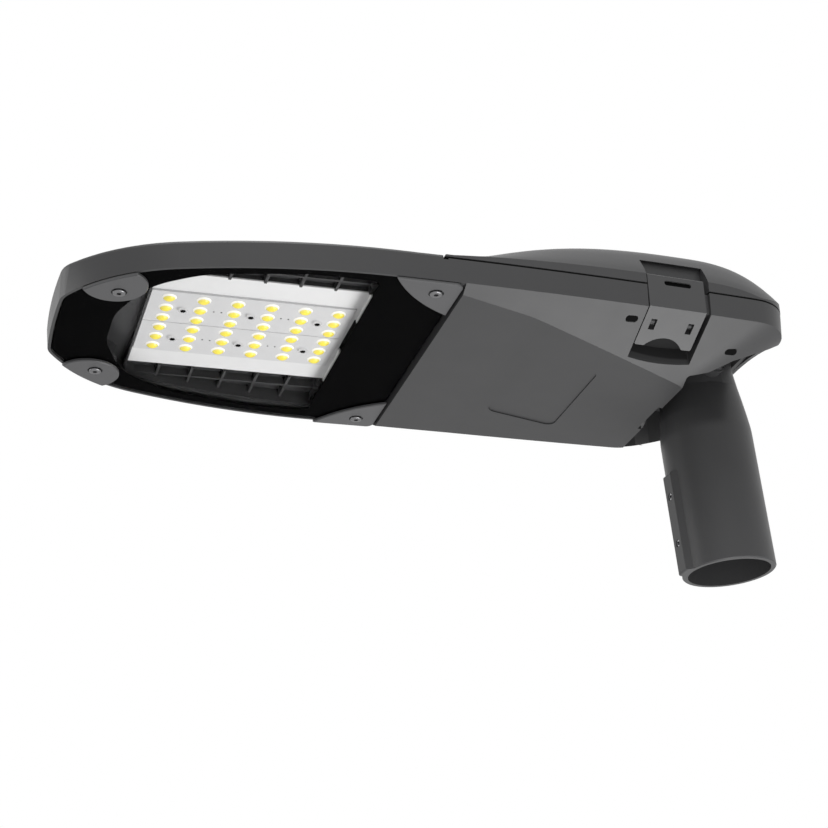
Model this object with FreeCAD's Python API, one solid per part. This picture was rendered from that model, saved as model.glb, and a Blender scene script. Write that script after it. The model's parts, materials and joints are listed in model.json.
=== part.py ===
import FreeCAD, Part
import math
import os
from FreeCAD import Vector

# Road lantern head for a Ø60 mm pole top, in millimetres.
# The head is level: X runs from the nose to the pole end, +Y is the right side seen from the pole,
# Z is up. While it is drawn, the origin is the middle of the LED array on the underside of its boards.
# On export everything shifts so that the origin is the middle of the pole socket's mouth.

# Plan outline of the housing, half of it, as tangent arcs
NOSE_X = -138.5
NOSE_R = 600.0
NOSE_CORNER_R = 22.0
FRONT_SIDE_R = 500.0
SHOULDER_R = 138.0
SHOULDER_ANGLE = 16.9
WIDEST_X = 80.0
HALF_WIDTH = 123.0
REAR_SIDE_R = 3583.0
REAR_CORNER_R = 35.0
REAR_CORNER_LEAST_R = 28.0
REAR_X = 391.0
REAR_R = 960.0
# The lower edge of the wall is a little smaller, and cut back further at the nose corners
LOWER_INSET = 1.0
LOWER_SHOULDER_R = 120.0

# Heights
RIM_Z = -9.8
ROOF_Z = 10.4
SEAM_Z = 7.5
LID_EDGE_Z = 8.9
WALL = 3.2
ROOF_WALL = 3.4
ROOF_EDGE_R = 2.4

# Glass and the parts round it
GLASS_T = 5.0
GLASS_FACE_Z = RIM_Z - 0.4
GLASS_RIM = 2.6
GLASS_REAR_X = 128.5
GLASS_GAP = 0.4
GASKET_T = 2.0
GASKET_W = 7.0
GASKET_SIDE = 2.4
BORDER_T = 0.4
BORDER_GAP = 0.1
BORDER_EDGE = 0.6
# Window corners: X, distance in from the widest half width, and corner radius
WINDOW_CORNERS = (
    (-96.8, 101.0, 60.0),
    (-80.0, 55.0, 60.0),
    (-44.0, 29.0, 80.0),
    (25.0, 14.4, 60.0),
    (70.5, 14.4, 6.0),
)
CHAMBER_INSET = 14.0
CHAMBER_REAR_X = 104.0

# Corner clamps that hold the glass, and their screws
CLAMP_T = 2.2
CLAMP_BEVEL = 0.7
FRONT_CLAMP_X = -103.0
FRONT_CLAMP_Y = 70.0
FRONT_CLAMP_R = 22.5
FRONT_SCREW = (-99.0, 62.3)
REAR_SCREW = (111.8, HALF_WIDTH - 15.9)
REAR_CLAMP_R = 115.0
REAR_CLAMP_FROM = (79.8, HALF_WIDTH - 1.0)
REAR_CLAMP_TO = (128.4, HALF_WIDTH - 46.8)
REAR_CLAMP_CORNER_R = 6.0
CLAMP_BOSS_R = 6.5
CLAMP_HEAD_R = 4.5
CLAMP_HEAD_H = 2.4
CLAMP_HEAD_EDGE_R = 0.9
CLAMP_SINK = 1.0
CLAMP_INSET = 0.6
CLAMP_FOOT_INSET = 2.0
CLAMP_FOOT_GAP = 0.5
CLAMP_BORE_GAP = 0.2
CLAMP_HEAD_GAP = 1.0
LAND_L = 40.0
FRONT_LAND_ANGLE = 132.0
REAR_LAND_ANGLE = 45.0
CLAMP_SCREW_R = 2.5
CLAMP_SCREW_L = 12.0
SCREW_SOCKET_R = 1.8
SCREW_SOCKET_H = 1.5

# Optical chamber: heat pad, white reflector plate, two boards and the LEDs
BOARD_Z = 1.0
BOARD_T = 1.6
PLATE_T = 1.0
PLATE_FRONT_X = -74.5
PLATE_REAR_X = 76.0
PLATE_HALF_W = 71.0
PLATE_FLANGE_H = 2.6
PLATE_NOTCH_Y = (-29.0, 20.0)
BOARD_FRONT_X = -74.0
BOARD_REAR_X = 72.0
BOARD_W = 45.7
BOARD_SEAM = 0.6
LED_COLUMNS = 6
LED_ROWS = 6
LED_PITCH_X = 24.36
LED_PITCH_Y = 15.0
LED_BODY = 9.6
LED_BODY_T = 0.9
LED_LENS_R = 4.2
LED_LENS_H = 1.9
BOARD_SCREW_XS = (-48.7, 0.0, 48.7)
BOARD_SCREW_Y = 22.5
BOARD_HEAD_R = 3.2
BOARD_HEAD_H = 2.0
BOARD_SCREW_R = 1.5
BOARD_SCREW_L = 8.0
CHAMBER_RIB_T = 2.0
CHAMBER_RIB_H = 6.0
CHAMBER_RIB_PITCH = 25.0
CHAMBER_RIB_COUNT = 7
CHAMBER_RIB_Y = 86.0
CHAMBER_BOSS_R = 3.5
CHAMBER_BOSS_H = 7.0

# Cooling fins on the roof over the LEDs
FIN_COUNT = 13
FIN_PITCH = 13.5
FIN_T = 2.4
FIN_H = 11.0
FIN_FRONT_X = -112.0
FIN_REAR_X = 88.0
FIN_END_R = 8.0
FIN_INSET = 26.0

# Underside of the gear compartment
TUB_X = 129.3
FAR = 400.0
NEAR = 1e-6
BAND_SLOPE = 0.56
BAND_REACH = 62.0
FLOOR_PROFILE = ((TUB_X, -14.6), (185.0, -20.2), (330.0, -43.4))
FLOOR_SLOPE = 0.16
FLOOR_BLEND_R = 180.0
PANEL_X = (200.0, 254.0)
PANEL_HALF_W = 49.0
PANEL_CORNER_R = 7.0
PANEL_DEPTH = 0.9
DRAIN_HOLES = ((257.0, 107.0), (342.7, 87.0))
DRAIN_L = 9.5
DRAIN_W = 5.0
DRAIN_DEPTH = 2.8

# Rim of the gear compartment and its seal
RIM_FLANGE_T = 4.0
SEAL_INSET = 14.5
SEAL_W = 3.5
SEAL_GROOVE = 2.0
SEAL_FRONT_X = 133.0
SEAL_REAR_X = 309.0
MOUTH_INSET = 20.0
MOUTH_MARGIN = 5.5

# Bay for the adjustable spigot, open below and to the rear
BAY_FRONT_X = 316.0
BAY_FRONT_HALF_W = 67.0
BAY_REAR_HALF_W = 80.0
BAY_CHEEK_X = (333.0, 349.0, 366.0)
BAY_CHEEK_STEP = 2.5
BAY_CORNER_R = 3.0
BAY_CEILING_Z = 4.5
BAY_NOTCH_HALF_W = 20.0
BAY_NOTCH_L = 3.0
BAY_REAR_WALL_X = 375.0
ARCH_R = 229.0
ARCH_LOW_Z = -9.0

# Spigot: a socket for a Ø60 pole, which narrows to a flat neck that pivots in the bay
PIVOT_X = 356.8
PIVOT_Z = -5.0
SPIGOT_L = 157.0
SPIGOT_LEAN = 3.7
TUBE_R = 35.0
SOCKET_R = 31.0
SOCKET_DEPTH = 98.0
NECK_HALF_W = 26.0
NECK_R = 27.0
NECK_FROM = 104.0
NECK_FLAT_FROM = 144.0
NECK_ROUNDING = 8.0
NECK_SQUARE = 2.6
NECK_BULGE = 0.4
NECK_STEPS = (6, 8)
NECK_POINTS = 32
CABLE_WAY_R = 13.0
CABLE_EXIT_R = 8.0
PAD_OUT = 38.5
PAD_HALF_W = 6.6
PAD_FLARE = 3.6
PAD_EDGE_R = 1.6
PAD_L = 78.0
SET_SCREW_AT = (23.0, 60.0)
SET_SCREW_R = 3.0
SET_SCREW_SUNK = 0.8
SET_SCREW_BACK = 0.4
SET_SOCKET_R = 1.7
SET_SOCKET_H = 2.5
TUBE_EDGE = 0.8
NECK_GAP = 0.3
EAR_Y0 = NECK_HALF_W + NECK_GAP
BAY_CLEARANCE = 2.0
EAR_T = 10.0
EAR_R = 9.0
TILT_BOLT_R = 4.0
TILT_BORE_GAP = 0.06
TILT_HEAD_R = 7.5
TILT_HEAD_H = 5.3
TILT_NUT_H = 6.5
WASHER_R = 8.0
WASHER_T = 1.6

# Lid over the gear compartment
LID_FRONT_X = 114.4
LID_FRONT_R = 1.2
LID_WALL = 3.0
LID_DROP = 4.0
LID_PAD_Z = 7.9
LID_PAD_REAR_X = 131.0
ROOF_END_X = 113.2
DOME_FRONT_X = 120.5
DOME_TOP_X = 305.6
DOME_RIM_RISE = 4.2
DOME_RISE = 39.6
DOME_FRONT_POWER = 2.6
DOME_SIDE_POWER = 8.0
DOME_REAR_POWER = 3.1
DOME_CORNER_FILL = 0.3
DOME_COLUMNS = 28
DOME_ROWS = 24
DOME_OVERLAP = 1.03
LID_RIB_T = 1.5
LID_RIB_GAP = 0.3
LID_RIB_TOP_Z = 60.0
SEAL_TOP_Z = 9.3

# Lid hinge at its front edge
HINGE_X = 115.9
HINGE_Z = 8.2
HINGE_Y = 70.0
HINGE_R = 2.1
HINGE_W = 12.0
HINGE_EAR_W = 5.7
HINGE_EAR_R = 2.0
HINGE_CUT_X = 118.5
HINGE_DIP = 1.0
HINGE_GAP = 0.3
HINGE_PIN_R = 1.0
HINGE_PIN_GAP = 0.05
TROUGH_Z = 4.5

# Side latches, drawn for the right side with x along the wall, y outwards and z up
LATCH_X = 289.6
LATCH_SINK = 0.4
LATCH_HALF_L = 22.5
LATCH_T = 2.5
LATCH_TOP_Z = 17.2
LATCH_TOP_BEVEL = 1.4
LATCH_REACH = 33.3
LATCH_SIDE_GAP = 0.8
LATCH_REAR_GAP = 4.0
LATCH_BACK_GAP = 0.5
LATCH_PIVOT_ALONG = 14.0
LATCH_PIVOT_DEPTH = 3.4
LATCH_PIN_R = 1.2
LATCH_PIN_GAP = 0.05
LATCH_BARREL_R = 2.2
LATCH_SLOT = (1.5, 21.5, 8.9, 12.7)
LATCH_WINDOW_X = 14.7
LATCH_WINDOW_W = 4.6
LATCH_WINDOW = (10.6, 19.6)
LATCH_CORNER_R = 1.5
LUG_W = 3.8
LUG_R = 2.0
LUG_GAP = 0.5
SCALLOP_W = 30.0
SCALLOP_H = 7.0
LID_POCKET_DEPTH = 10.5
LID_POCKET_Z = 31.5
LID_POCKET_WALL = 2.0
FINGER_END = 41.3
FINGER_START = 3.5
FINGER_DEPTH = 11.5
FINGER_BOW_R = 150.0
BACKING = 3.0

# Gear inside
TRAY_X = (143.0, 299.0)
TRAY_HALF_W = 68.0
TRAY_Z = -5.0
TRAY_T = 1.5
TRAY_FLANGE = 7.0
POST_R = 5.0
POST_XS = (152.0, 290.0)
POST_Y = 58.0
GEAR_SCREW_R = 2.0
GEAR_HEAD_R = 4.0
GEAR_HEAD_H = 2.4
GEAR_SCREW_L = 8.0
DRIVER_X = (172.0, 292.0)
DRIVER_Y = (-48.0, 14.0)
DRIVER_H = 30.0
DRIVER_EDGE = 3.0
DRIVER_TAB_L = 9.0
DRIVER_TAB_T = 2.0
SURGE_X = (180.0, 226.0)
SURGE_Y = (24.0, 54.0)
SURGE_H = 26.0
TERMINAL_X = (238.0, 278.0)
TERMINAL_Y = (26.0, 50.0)
TERMINAL_H = 17.0
TERMINAL_WAYS = 5
TERMINAL_HOLE_R = 2.2
DRIVER_SCREW_BELOW_Y = 40.0
GLAND_Y = 46.0
GLAND_Z = -17.0
GLAND_R = 10.0
GLAND_HEX_R = 13.5
GLAND_HEX_H = 6.0
GLAND_CAP_L = 14.0
GLAND_NUT_H = 5.0
GLAND_BORE_R = 5.0
LED_WAY_R = 2.0
LED_WAY_Y = -5.0
LED_WAY_Z = -2.9
GROMMET_R = 4.6
GROMMET_T = 3.0
EARTH_X = 146.0
EARTH_Y = -84.0
EARTH_Z = -6.0
EARTH_BOSS_R = 4.5
EARTH_HEAD_R = 4.0


def block(x0, x1, y0, y1, z0, z1):
    """Box between two corners."""
    return Part.makeBox(x1 - x0, y1 - y0, z1 - z0, Vector(x0, y0, z0))


def rod(x, y, z, radius, length, axis=Vector(0, 0, 1)):
    """Cylinder from a point along an axis."""
    return Part.makeCylinder(radius, length, Vector(x, y, z), axis)


def mirrored(shape):
    """The same piece on the other side of the head."""
    return shape.mirror(Vector(0, 0, 0), Vector(0, 1, 0))


def both_sides(shape):
    """A right-hand piece and its mirror image, fused."""
    return shape.fuse(mirrored(shape))


def solids_of(shapes):
    """Several separate solids as one group."""
    return Part.makeCompound(shapes)


def prism(wire, height):
    """Upright solid on a flat closed wire."""
    return Part.Face(wire).extrude(Vector(0, 0, height))


def polygon_along_y(points, y0, y1):
    """Solid from an outline in the XZ plane, from y0 to y1."""
    corners = [Vector(x, y0, z) for x, z in points]
    wire = Part.makePolygon(corners + corners[:1])
    return Part.Face(wire).extrude(Vector(0, y1 - y0, 0))


def polygon_along_x(points, x0, x1):
    """Solid from an outline in the YZ plane, from x0 to x1."""
    corners = [Vector(x0, y, z) for y, z in points]
    wire = Part.makePolygon(corners + corners[:1])
    return Part.Face(wire).extrude(Vector(x1 - x0, 0, 0))


def plan_polygon(points, z0, z1):
    """Upright solid from an outline in the XY plane."""
    corners = [Vector(x, y, z0) for x, y in points]
    wire = Part.makePolygon(corners + corners[:1])
    return prism(wire, z1 - z0)


def hexagon(x, y, z, radius, height):
    """Upright hexagonal prism with the given corner radius."""
    points = []
    for i in range(6):
        angle = math.radians(60 * i)
        points.append((x + radius * math.cos(angle), y + radius * math.sin(angle)))
    return plan_polygon(points, z, z + height)


def meet(c1, r1, c2, r2):
    """Upper crossing point of two circles whose centres lie in the XY plane."""
    dx, dy = c2[0] - c1[0], c2[1] - c1[1]
    d = math.hypot(dx, dy)
    along = (r1 * r1 - r2 * r2 + d * d) / (2 * d)
    across = math.sqrt(r1 * r1 - along * along)
    x, y = c1[0] + along * dx / d, c1[1] + along * dy / d
    options = ((x - across * dy / d, y + across * dx / d), (x + across * dy / d, y - across * dx / d))
    return max(options, key=lambda p: p[1])


def on_circle(centre, radius, towards):
    """Point of a circle on the ray from its centre through another point."""
    dx, dy = towards[0] - centre[0], towards[1] - centre[1]
    d = math.hypot(dx, dy)
    return (centre[0] + radius * dx / d, centre[1] + radius * dy / d)


def arc(centre, radius, start, end, z):
    """Arc of a circle between two of its points, the short way."""
    middle = on_circle(centre, radius, ((start[0] + end[0]) / 2, (start[1] + end[1]) / 2))
    return Part.Arc(Vector(*start, z), Vector(*middle, z), Vector(*end, z)).toShape()


def outline(z, inset=0.0, lower=False):
    """Closed plan outline of the housing at a height, moved inwards by inset."""
    cut = inset + (LOWER_INSET if lower else 0.0)
    shoulder = LOWER_SHOULDER_R if lower else SHOULDER_R
    angle = math.radians(SHOULDER_ANGLE)
    nose_c, nose_r = (NOSE_X + NOSE_R, 0.0), NOSE_R - cut
    front_c, front_r = (WIDEST_X, HALF_WIDTH - FRONT_SIDE_R), FRONT_SIDE_R - cut
    offset = FRONT_SIDE_R - shoulder
    shoulder_c = (WIDEST_X - offset * math.sin(angle), front_c[1] + offset * math.cos(angle))
    shoulder_r = shoulder - cut
    side_c, side_r = (WIDEST_X, HALF_WIDTH - REAR_SIDE_R), REAR_SIDE_R - cut
    rear_c, rear_r = (REAR_X - REAR_R, 0.0), REAR_R - cut
    corner_r = max(NOSE_CORNER_R - inset, 2.0)
    nose_corner = meet(nose_c, nose_r - corner_r, shoulder_c, shoulder_r - corner_r)
    rear_corner_r = max(REAR_CORNER_R - inset, REAR_CORNER_LEAST_R)
    rear_corner = meet(rear_c, rear_r - rear_corner_r, side_c, side_r - rear_corner_r)
    a = on_circle(nose_c, nose_r, nose_corner)
    b = on_circle(shoulder_c, shoulder_r, nose_corner)
    joint = (front_c[0] - front_r * math.sin(angle), front_c[1] + front_r * math.cos(angle))
    widest = (WIDEST_X, HALF_WIDTH - cut)
    d = on_circle(side_c, side_r, rear_corner)
    e = on_circle(rear_c, rear_r, rear_corner)
    right = [
        (nose_corner, corner_r, a, b),
        (shoulder_c, shoulder_r, b, joint),
        (front_c, front_r, joint, widest),
        (side_c, side_r, widest, d),
        (rear_corner, rear_corner_r, d, e),
    ]
    edges = [arc(c, r, start, end, z) for c, r, start, end in right]
    edges.append(arc(rear_c, rear_r, e, (e[0], -e[1]), z))
    for c, r, start, end in reversed(right):
        edges.append(arc((c[0], -c[1]), r, (end[0], -end[1]), (start[0], -start[1]), z))
    edges.append(arc(nose_c, nose_r, (a[0], -a[1]), a, z))
    return Part.Wire(edges)


def half_width(x):
    """Half width of the housing behind its widest place."""
    return HALF_WIDTH - REAR_SIDE_R + math.sqrt(REAR_SIDE_R ** 2 - (x - WIDEST_X) ** 2)


def wall_form(inset):
    """Drafted body of the side wall, from its lower edge to the roof."""
    wires = [outline(RIM_Z, inset, True), outline(ROOF_Z, inset)]
    return Part.makeLoft(wires, True, True)


def band_form(inset):
    """Hipped body under the wall, whose sides slope inwards and down."""
    lift = inset * (math.hypot(1, BAND_SLOPE) - BAND_SLOPE)
    top = outline(RIM_Z + lift, inset, True)
    bottom = outline(RIM_Z + lift - BAND_SLOPE * BAND_REACH, inset + BAND_REACH, True)
    return Part.makeLoft([bottom, top], True, True)


def rounded_wire(points, place):
    """Closed wire through (u, v, corner radius) points, with tangent arcs at the corners."""
    edges = []
    ends = []
    count = len(points)
    for i, (u, v, r) in enumerate(points):
        pu, pv, _ = points[i - 1]
        nu, nv, _ = points[(i + 1) % count]
        before = unit(pu - u, pv - v)
        after = unit(nu - u, nv - v)
        cosine = before[0] * after[0] + before[1] * after[1]
        half = math.acos(max(-1.0, min(1.0, cosine))) / 2
        reach = r / math.tan(half)
        start = (u + before[0] * reach, v + before[1] * reach)
        end = (u + after[0] * reach, v + after[1] * reach)
        ends.append((start, end))
        if r > 0:
            middle_dir = unit(before[0] + after[0], before[1] + after[1])
            gap = r / math.sin(half) - r
            middle = (u + middle_dir[0] * gap, v + middle_dir[1] * gap)
            edges.append(Part.Arc(place(*start), place(*middle), place(*end)).toShape())
    for i in range(count):
        a, b = place(*ends[i - 1][1]), place(*ends[i][0])
        if a.distanceToPoint(b) > 1e-6:
            edges.append(Part.makeLine(a, b))
    return Part.Wire(Part.__sortEdges__(edges))


def unit(u, v):
    """Direction of a plane vector."""
    length = math.hypot(u, v)
    return (u / length, v / length)


def rounded_plan(points, z0, z1):
    """Upright solid from an outline of (x, y, corner radius) points."""
    return prism(rounded_wire(points, lambda x, y: Vector(x, y, z0)), z1 - z0)


def rounded_block(x0, x1, y0, y1, z0, z1, radius):
    """Box with rounded upright edges."""
    points = [(x0, y0, radius), (x1, y0, radius), (x1, y1, radius), (x0, y1, radius)]
    return rounded_plan(points, z0, z1)


def rounded_along_y(points, y0, y1):
    """Solid along Y from an outline of (x, z, corner radius) points."""
    wire = rounded_wire(points, lambda x, z: Vector(x, y0, z))
    return Part.Face(wire).extrude(Vector(0, y1 - y0, 0))


def rounded_along_x(points, x0, x1):
    """Solid along X from an outline of (y, z, corner radius) points."""
    wire = rounded_wire(points, lambda y, z: Vector(x0, y, z))
    return Part.Face(wire).extrude(Vector(x1 - x0, 0, 0))


def plan_form(inset, z0, z1, lower=True):
    """Upright solid on the housing's plan outline moved inwards."""
    return prism(outline(z0, inset, lower), z1 - z0)


def between_x(shape, x0, x1):
    """Part of a shape between two X values."""
    return shape.common(block(x0, x1, -FAR, FAR, -FAR, FAR))


def floor_region(front_x, rise):
    """Everything above the floor of the gear compartment, behind front_x."""
    (x0, z0), (x1, z1), (x2, z2) = FLOOR_PROFILE
    points = [
        (front_x, z0 + rise, 0),
        (x1, z1 + rise, FLOOR_BLEND_R),
        (x2, z2 + rise, 0),
        (FAR, z2 + rise, 0),
        (FAR, ROOF_Z, 0),
        (front_x, ROOF_Z, 0),
    ]
    return rounded_along_y(points, -FAR, FAR)


def tub_form(inset, front_x):
    """Body of the gear compartment up to the roof's height, inset from its outer skin."""
    rise = inset * math.hypot(1, FLOOR_SLOPE)
    body = wall_form(inset).fuse(band_form(inset))
    return body.common(floor_region(front_x, rise))


def place_latch(shape):
    """Move a shape from the latch's own frame to the right-hand side wall."""
    turn = math.degrees(math.asin((LATCH_X - WIDEST_X) / REAR_SIDE_R))
    moved = shape.copy()
    moved.rotate(Vector(0, 0, 0), Vector(0, 0, 1), -turn)
    moved.translate(Vector(LATCH_X, half_width(LATCH_X) - LATCH_SINK, 0))
    return moved


def skin_slab(top, reach, shallow, deep, x0, x1):
    """Slab that follows the wall and the band, between two depths under the latch's outer face."""
    low = RIM_Z + BAND_SLOPE * (LOWER_INSET - LATCH_SINK)
    lift = math.hypot(1, BAND_SLOPE)
    points = []
    for depth in (shallow, deep):
        corner = low + depth * (lift - BAND_SLOPE)
        end = low + depth * lift - BAND_SLOPE * reach
        path = [(-depth, top), (-depth, corner), (-reach, end)]
        points += path if depth == shallow else path[::-1]
    return polygon_along_x(points, x0, x1)


def latch_slab_x():
    """X extent of the recess round the latch."""
    return (-LATCH_HALF_L - LATCH_SIDE_GAP, LATCH_HALF_L + LATCH_REAR_GAP)


def latch_recess():
    """Space cut out of the housing for a latch and for the fingers that open it."""
    x0, x1 = latch_slab_x()
    depth = LATCH_T + LATCH_BACK_GAP
    recess = skin_slab(ROOF_Z + 10, FINGER_END, -8.0, depth, x0, x1)
    pocket = skin_slab(-8.0, FINGER_END, 0.0, FINGER_DEPTH, x0, x1)
    pocket = pocket.common(block(x0, x1, -FINGER_END, -FINGER_START, -FAR, FAR))
    bow = Part.makeCylinder(FINGER_BOW_R, FAR, Vector((x0 + x1) / 2, FINGER_BOW_R - FINGER_END, -FAR / 2))
    return recess.fuse(pocket).common(bow)


def latch_backing():
    """Wall behind the latch recess, before the recess is cut."""
    x0, x1 = latch_slab_x()
    depth = LATCH_T + LATCH_BACK_GAP + BACKING
    wall = skin_slab(SEAM_Z, FINGER_END + BACKING, 0.0, depth, x0 - BACKING, x1 + BACKING)
    pocket_depth = FINGER_DEPTH + BACKING
    pocket = skin_slab(-8.0, FINGER_END + BACKING, 0.0, pocket_depth, x0 - BACKING, x1 + BACKING)
    limits = block(x0 - BACKING, x1 + BACKING, -FINGER_END - BACKING, BACKING - FINGER_START, -FAR, FAR)
    return wall.fuse(pocket.common(limits))


def skin_point(along, depth):
    """Point at a distance down the band from the crease, and a depth under the latch's outer face."""
    length = math.hypot(1, BAND_SLOPE)
    low = RIM_Z + BAND_SLOPE * (LOWER_INSET - LATCH_SINK)
    y = -(along + BAND_SLOPE * depth) / length
    z = low + (depth - BAND_SLOPE * along) / length
    return (y, z)


def latch_pivot():
    """Latch axis in the latch's own frame, as (y, z)."""
    return skin_point(LATCH_PIVOT_ALONG, LATCH_PIVOT_DEPTH)


def along_latch(radius, x0, x1):
    """Cylinder on the latch's axis, in the latch's own frame."""
    y, z = latch_pivot()
    return rod(x0, y, z, radius, x1 - x0, Vector(1, 0, 0))


def latch_lugs():
    """Two lugs in the recess that carry the latch's pin and show in its windows."""
    near, far = LATCH_PIVOT_ALONG - LUG_R, LATCH_PIVOT_ALONG + LUG_R
    foot = FINGER_DEPTH + 0.5
    outline_yz = [skin_point(a, d) for a, d in ((near, LATCH_PIVOT_DEPTH), (far, LATCH_PIVOT_DEPTH), (far, foot), (near, foot))]
    lugs = []
    for x in (-LATCH_WINDOW_X, LATCH_WINDOW_X):
        x0, x1 = x - LUG_W / 2, x + LUG_W / 2
        lug = polygon_along_x(outline_yz, x0, x1).fuse(along_latch(LUG_R, x0, x1))
        lugs.append(lug.cut(along_latch(LATCH_PIN_R, x0 - 1, x1 + 1)))
    return lugs[0].fuse(lugs[1])


def latch():
    """Right-hand latch: a plate that follows the wall and hooks under it."""
    slope = 1 / math.hypot(1, BAND_SLOPE)
    reach = LATCH_REACH * slope
    half = LATCH_HALF_L
    plate = skin_slab(LATCH_TOP_Z, reach, 0.0, LATCH_T, -half, half)
    r = LATCH_CORNER_R
    plan = rounded_plan([(-half, -reach, r), (half, -reach, r), (half, 5, 0), (-half, 5, 0)], -FAR, FAR)
    plate = plate.common(plan)
    bow_r = (SCALLOP_W ** 2 / 4 + SCALLOP_H ** 2) / (2 * SCALLOP_H)
    plate = plate.cut(rod(0, SCALLOP_H - reach - bow_r, -FAR, bow_r, FAR))
    b = LATCH_TOP_BEVEL
    bevel = [(0, LATCH_TOP_Z - b), (1, LATCH_TOP_Z - b - 1), (1, LATCH_TOP_Z + 1), (-b - 1, LATCH_TOP_Z + 1)]
    plate = plate.cut(polygon_along_x(bevel + [(-b, LATCH_TOP_Z)], -half - 1, half + 1))
    for x in (-LATCH_WINDOW_X, LATCH_WINDOW_X):
        y0, y1 = -LATCH_WINDOW[1] * slope, -LATCH_WINDOW[0] * slope
        plate = plate.cut(block(x - LATCH_WINDOW_W / 2, x + LATCH_WINDOW_W / 2, y0, y1, -FAR, RIM_Z + 7))
    middle, length, z0, z1 = LATCH_SLOT
    slot_r = (z1 - z0) / 2
    for x in (middle - length / 2 + slot_r, middle + length / 2 - slot_r):
        plate = plate.cut(rod(x, -LATCH_T - 1, (z0 + z1) / 2, slot_r, LATCH_T + 2, Vector(0, 1, 0)))
    flat = length / 2 - slot_r
    plate = plate.cut(block(middle - flat, middle + flat, -LATCH_T - 1, 1, z0, z1))
    end = LATCH_WINDOW_X - LUG_W / 2 - LUG_GAP
    plate = plate.fuse(along_latch(LATCH_BARREL_R, -end, end))
    plate = plate.cut(along_latch(LATCH_PIN_R + LATCH_PIN_GAP, -half, half))
    return place_latch(plate.removeSplitter())


def latch_pin():
    """Hinge pin of the right-hand latch, fixed in the lugs."""
    end = LATCH_WINDOW_X + LUG_W / 2
    return place_latch(along_latch(LATCH_PIN_R, -end, end))


def latch_pins():
    """One hinge pin for each latch."""
    return solids_of([latch_pin(), mirrored(latch_pin())])


def bay_plan(grow, z0, z1):
    """Upright solid on the plan of the spigot bay, grown outwards by the wall's thickness."""
    front, rear = BAY_FRONT_HALF_W + grow / 2, BAY_REAR_HALF_W + grow
    right = [
        (BAY_FRONT_X - grow, front, BAY_CORNER_R),
        (BAY_CHEEK_X[0], front + BAY_CHEEK_STEP, 0),
        (BAY_CHEEK_X[1], rear - BAY_CHEEK_STEP, 0),
        (BAY_CHEEK_X[2], rear, 0),
        (FAR, rear, 0),
    ]
    left = [(x, -y, r) for x, y, r in reversed(right)]
    body = rounded_plan(right + left, z0, z1)
    notch_w = BAY_NOTCH_HALF_W + grow
    notch = block(BAY_FRONT_X - BAY_NOTCH_L - grow, BAY_FRONT_X + 1, -notch_w, notch_w, z0, z1)
    return body.fuse(notch)


def knuckle_cylinder(radius, half_length):
    """Cylinder about the tilt axis."""
    return rod(PIVOT_X, -half_length, PIVOT_Z, radius, 2 * half_length, Vector(0, 1, 0))


def bay_recess(grow):
    """Round hollow above the neck, with its wall when grown."""
    body = knuckle_cylinder(NECK_R + BAY_CLEARANCE + grow, EAR_Y0 + grow)
    return body.common(block(0, FAR, -FAR, FAR, PIVOT_Z, FAR))


def bay_ears():
    """Two ears inside the bay that carry the tilt bolt."""
    ears = []
    for side in (-1, 1):
        y0, y1 = sorted((side * EAR_Y0, side * (EAR_Y0 + EAR_T)))
        ear = rod(PIVOT_X, y0, PIVOT_Z, EAR_R, EAR_T, Vector(0, 1, 0))
        neck = block(PIVOT_X - EAR_R, PIVOT_X + EAR_R, y0, y1, PIVOT_Z, SEAM_Z)
        ears += [ear, neck]
    return ears


def floor_height(x):
    """Inner face of the gear compartment's floor at X, without its rounding."""
    (x0, z0), (x1, z1), (x2, z2) = FLOOR_PROFILE
    if x < x1:
        z = z0 + (z1 - z0) * (x - x0) / (x1 - x0)
    else:
        z = z1 + (z2 - z1) * (x - x1) / (x2 - x1)
    return z + WALL * math.hypot(1, FLOOR_SLOPE)


def gear_posts():
    """Posts under the corners of the gear tray, and the boss for the earth screw."""
    posts = []
    for x in POST_XS:
        for y in (-POST_Y, POST_Y):
            z0 = floor_height(x) - 1.5
            posts.append(rod(x, y, z0, POST_R, TRAY_Z - z0))
    z0 = floor_height(EARTH_X) - 1.5
    posts.append(rod(EARTH_X, EARTH_Y, z0, EARTH_BOSS_R, EARTH_Z - z0))
    return posts


def tub_hollow():
    """Space inside the gear compartment, round the walls and bosses that stand in it."""
    hollow = tub_form(WALL, TUB_X + WALL)
    hollow = hollow.common(block(0, FAR, -FAR, FAR, -FAR, SEAM_Z - RIM_FLANGE_T))
    mouth = plan_form(MOUTH_INSET, SEAM_Z - RIM_FLANGE_T - 1, ROOF_Z, False)
    mouth = between_x(mouth, SEAL_FRONT_X + MOUTH_MARGIN, SEAL_REAR_X - MOUTH_MARGIN)
    hollow = hollow.fuse(mouth)
    backing = place_latch(latch_backing())
    hollow = hollow.cut([bay_plan(WALL, -FAR, SEAM_Z), backing, mirrored(backing)])
    return hollow.cut(gear_posts())


def corner_land(screw, angle, gap, z0, z1):
    """Land under a glass clamp: a disc round the screw and a strip out to the edge."""
    radius = CLAMP_BOSS_R + gap
    disc = rod(screw[0], screw[1], z0, radius, z1 - z0)
    strip = block(0, LAND_L, -radius, radius, z0, z1)
    strip.rotate(Vector(0, 0, 0), Vector(0, 0, 1), angle)
    strip.translate(Vector(screw[0], screw[1], 0))
    return disc.fuse(strip)


def all_lands(gap, z0, z1):
    """The four lands under the glass clamps."""
    front = corner_land(FRONT_SCREW, FRONT_LAND_ANGLE, gap, z0, z1)
    rear = corner_land(REAR_SCREW, REAR_LAND_ANGLE, gap, z0, z1)
    return [front, rear, mirrored(front), mirrored(rear)]


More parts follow.
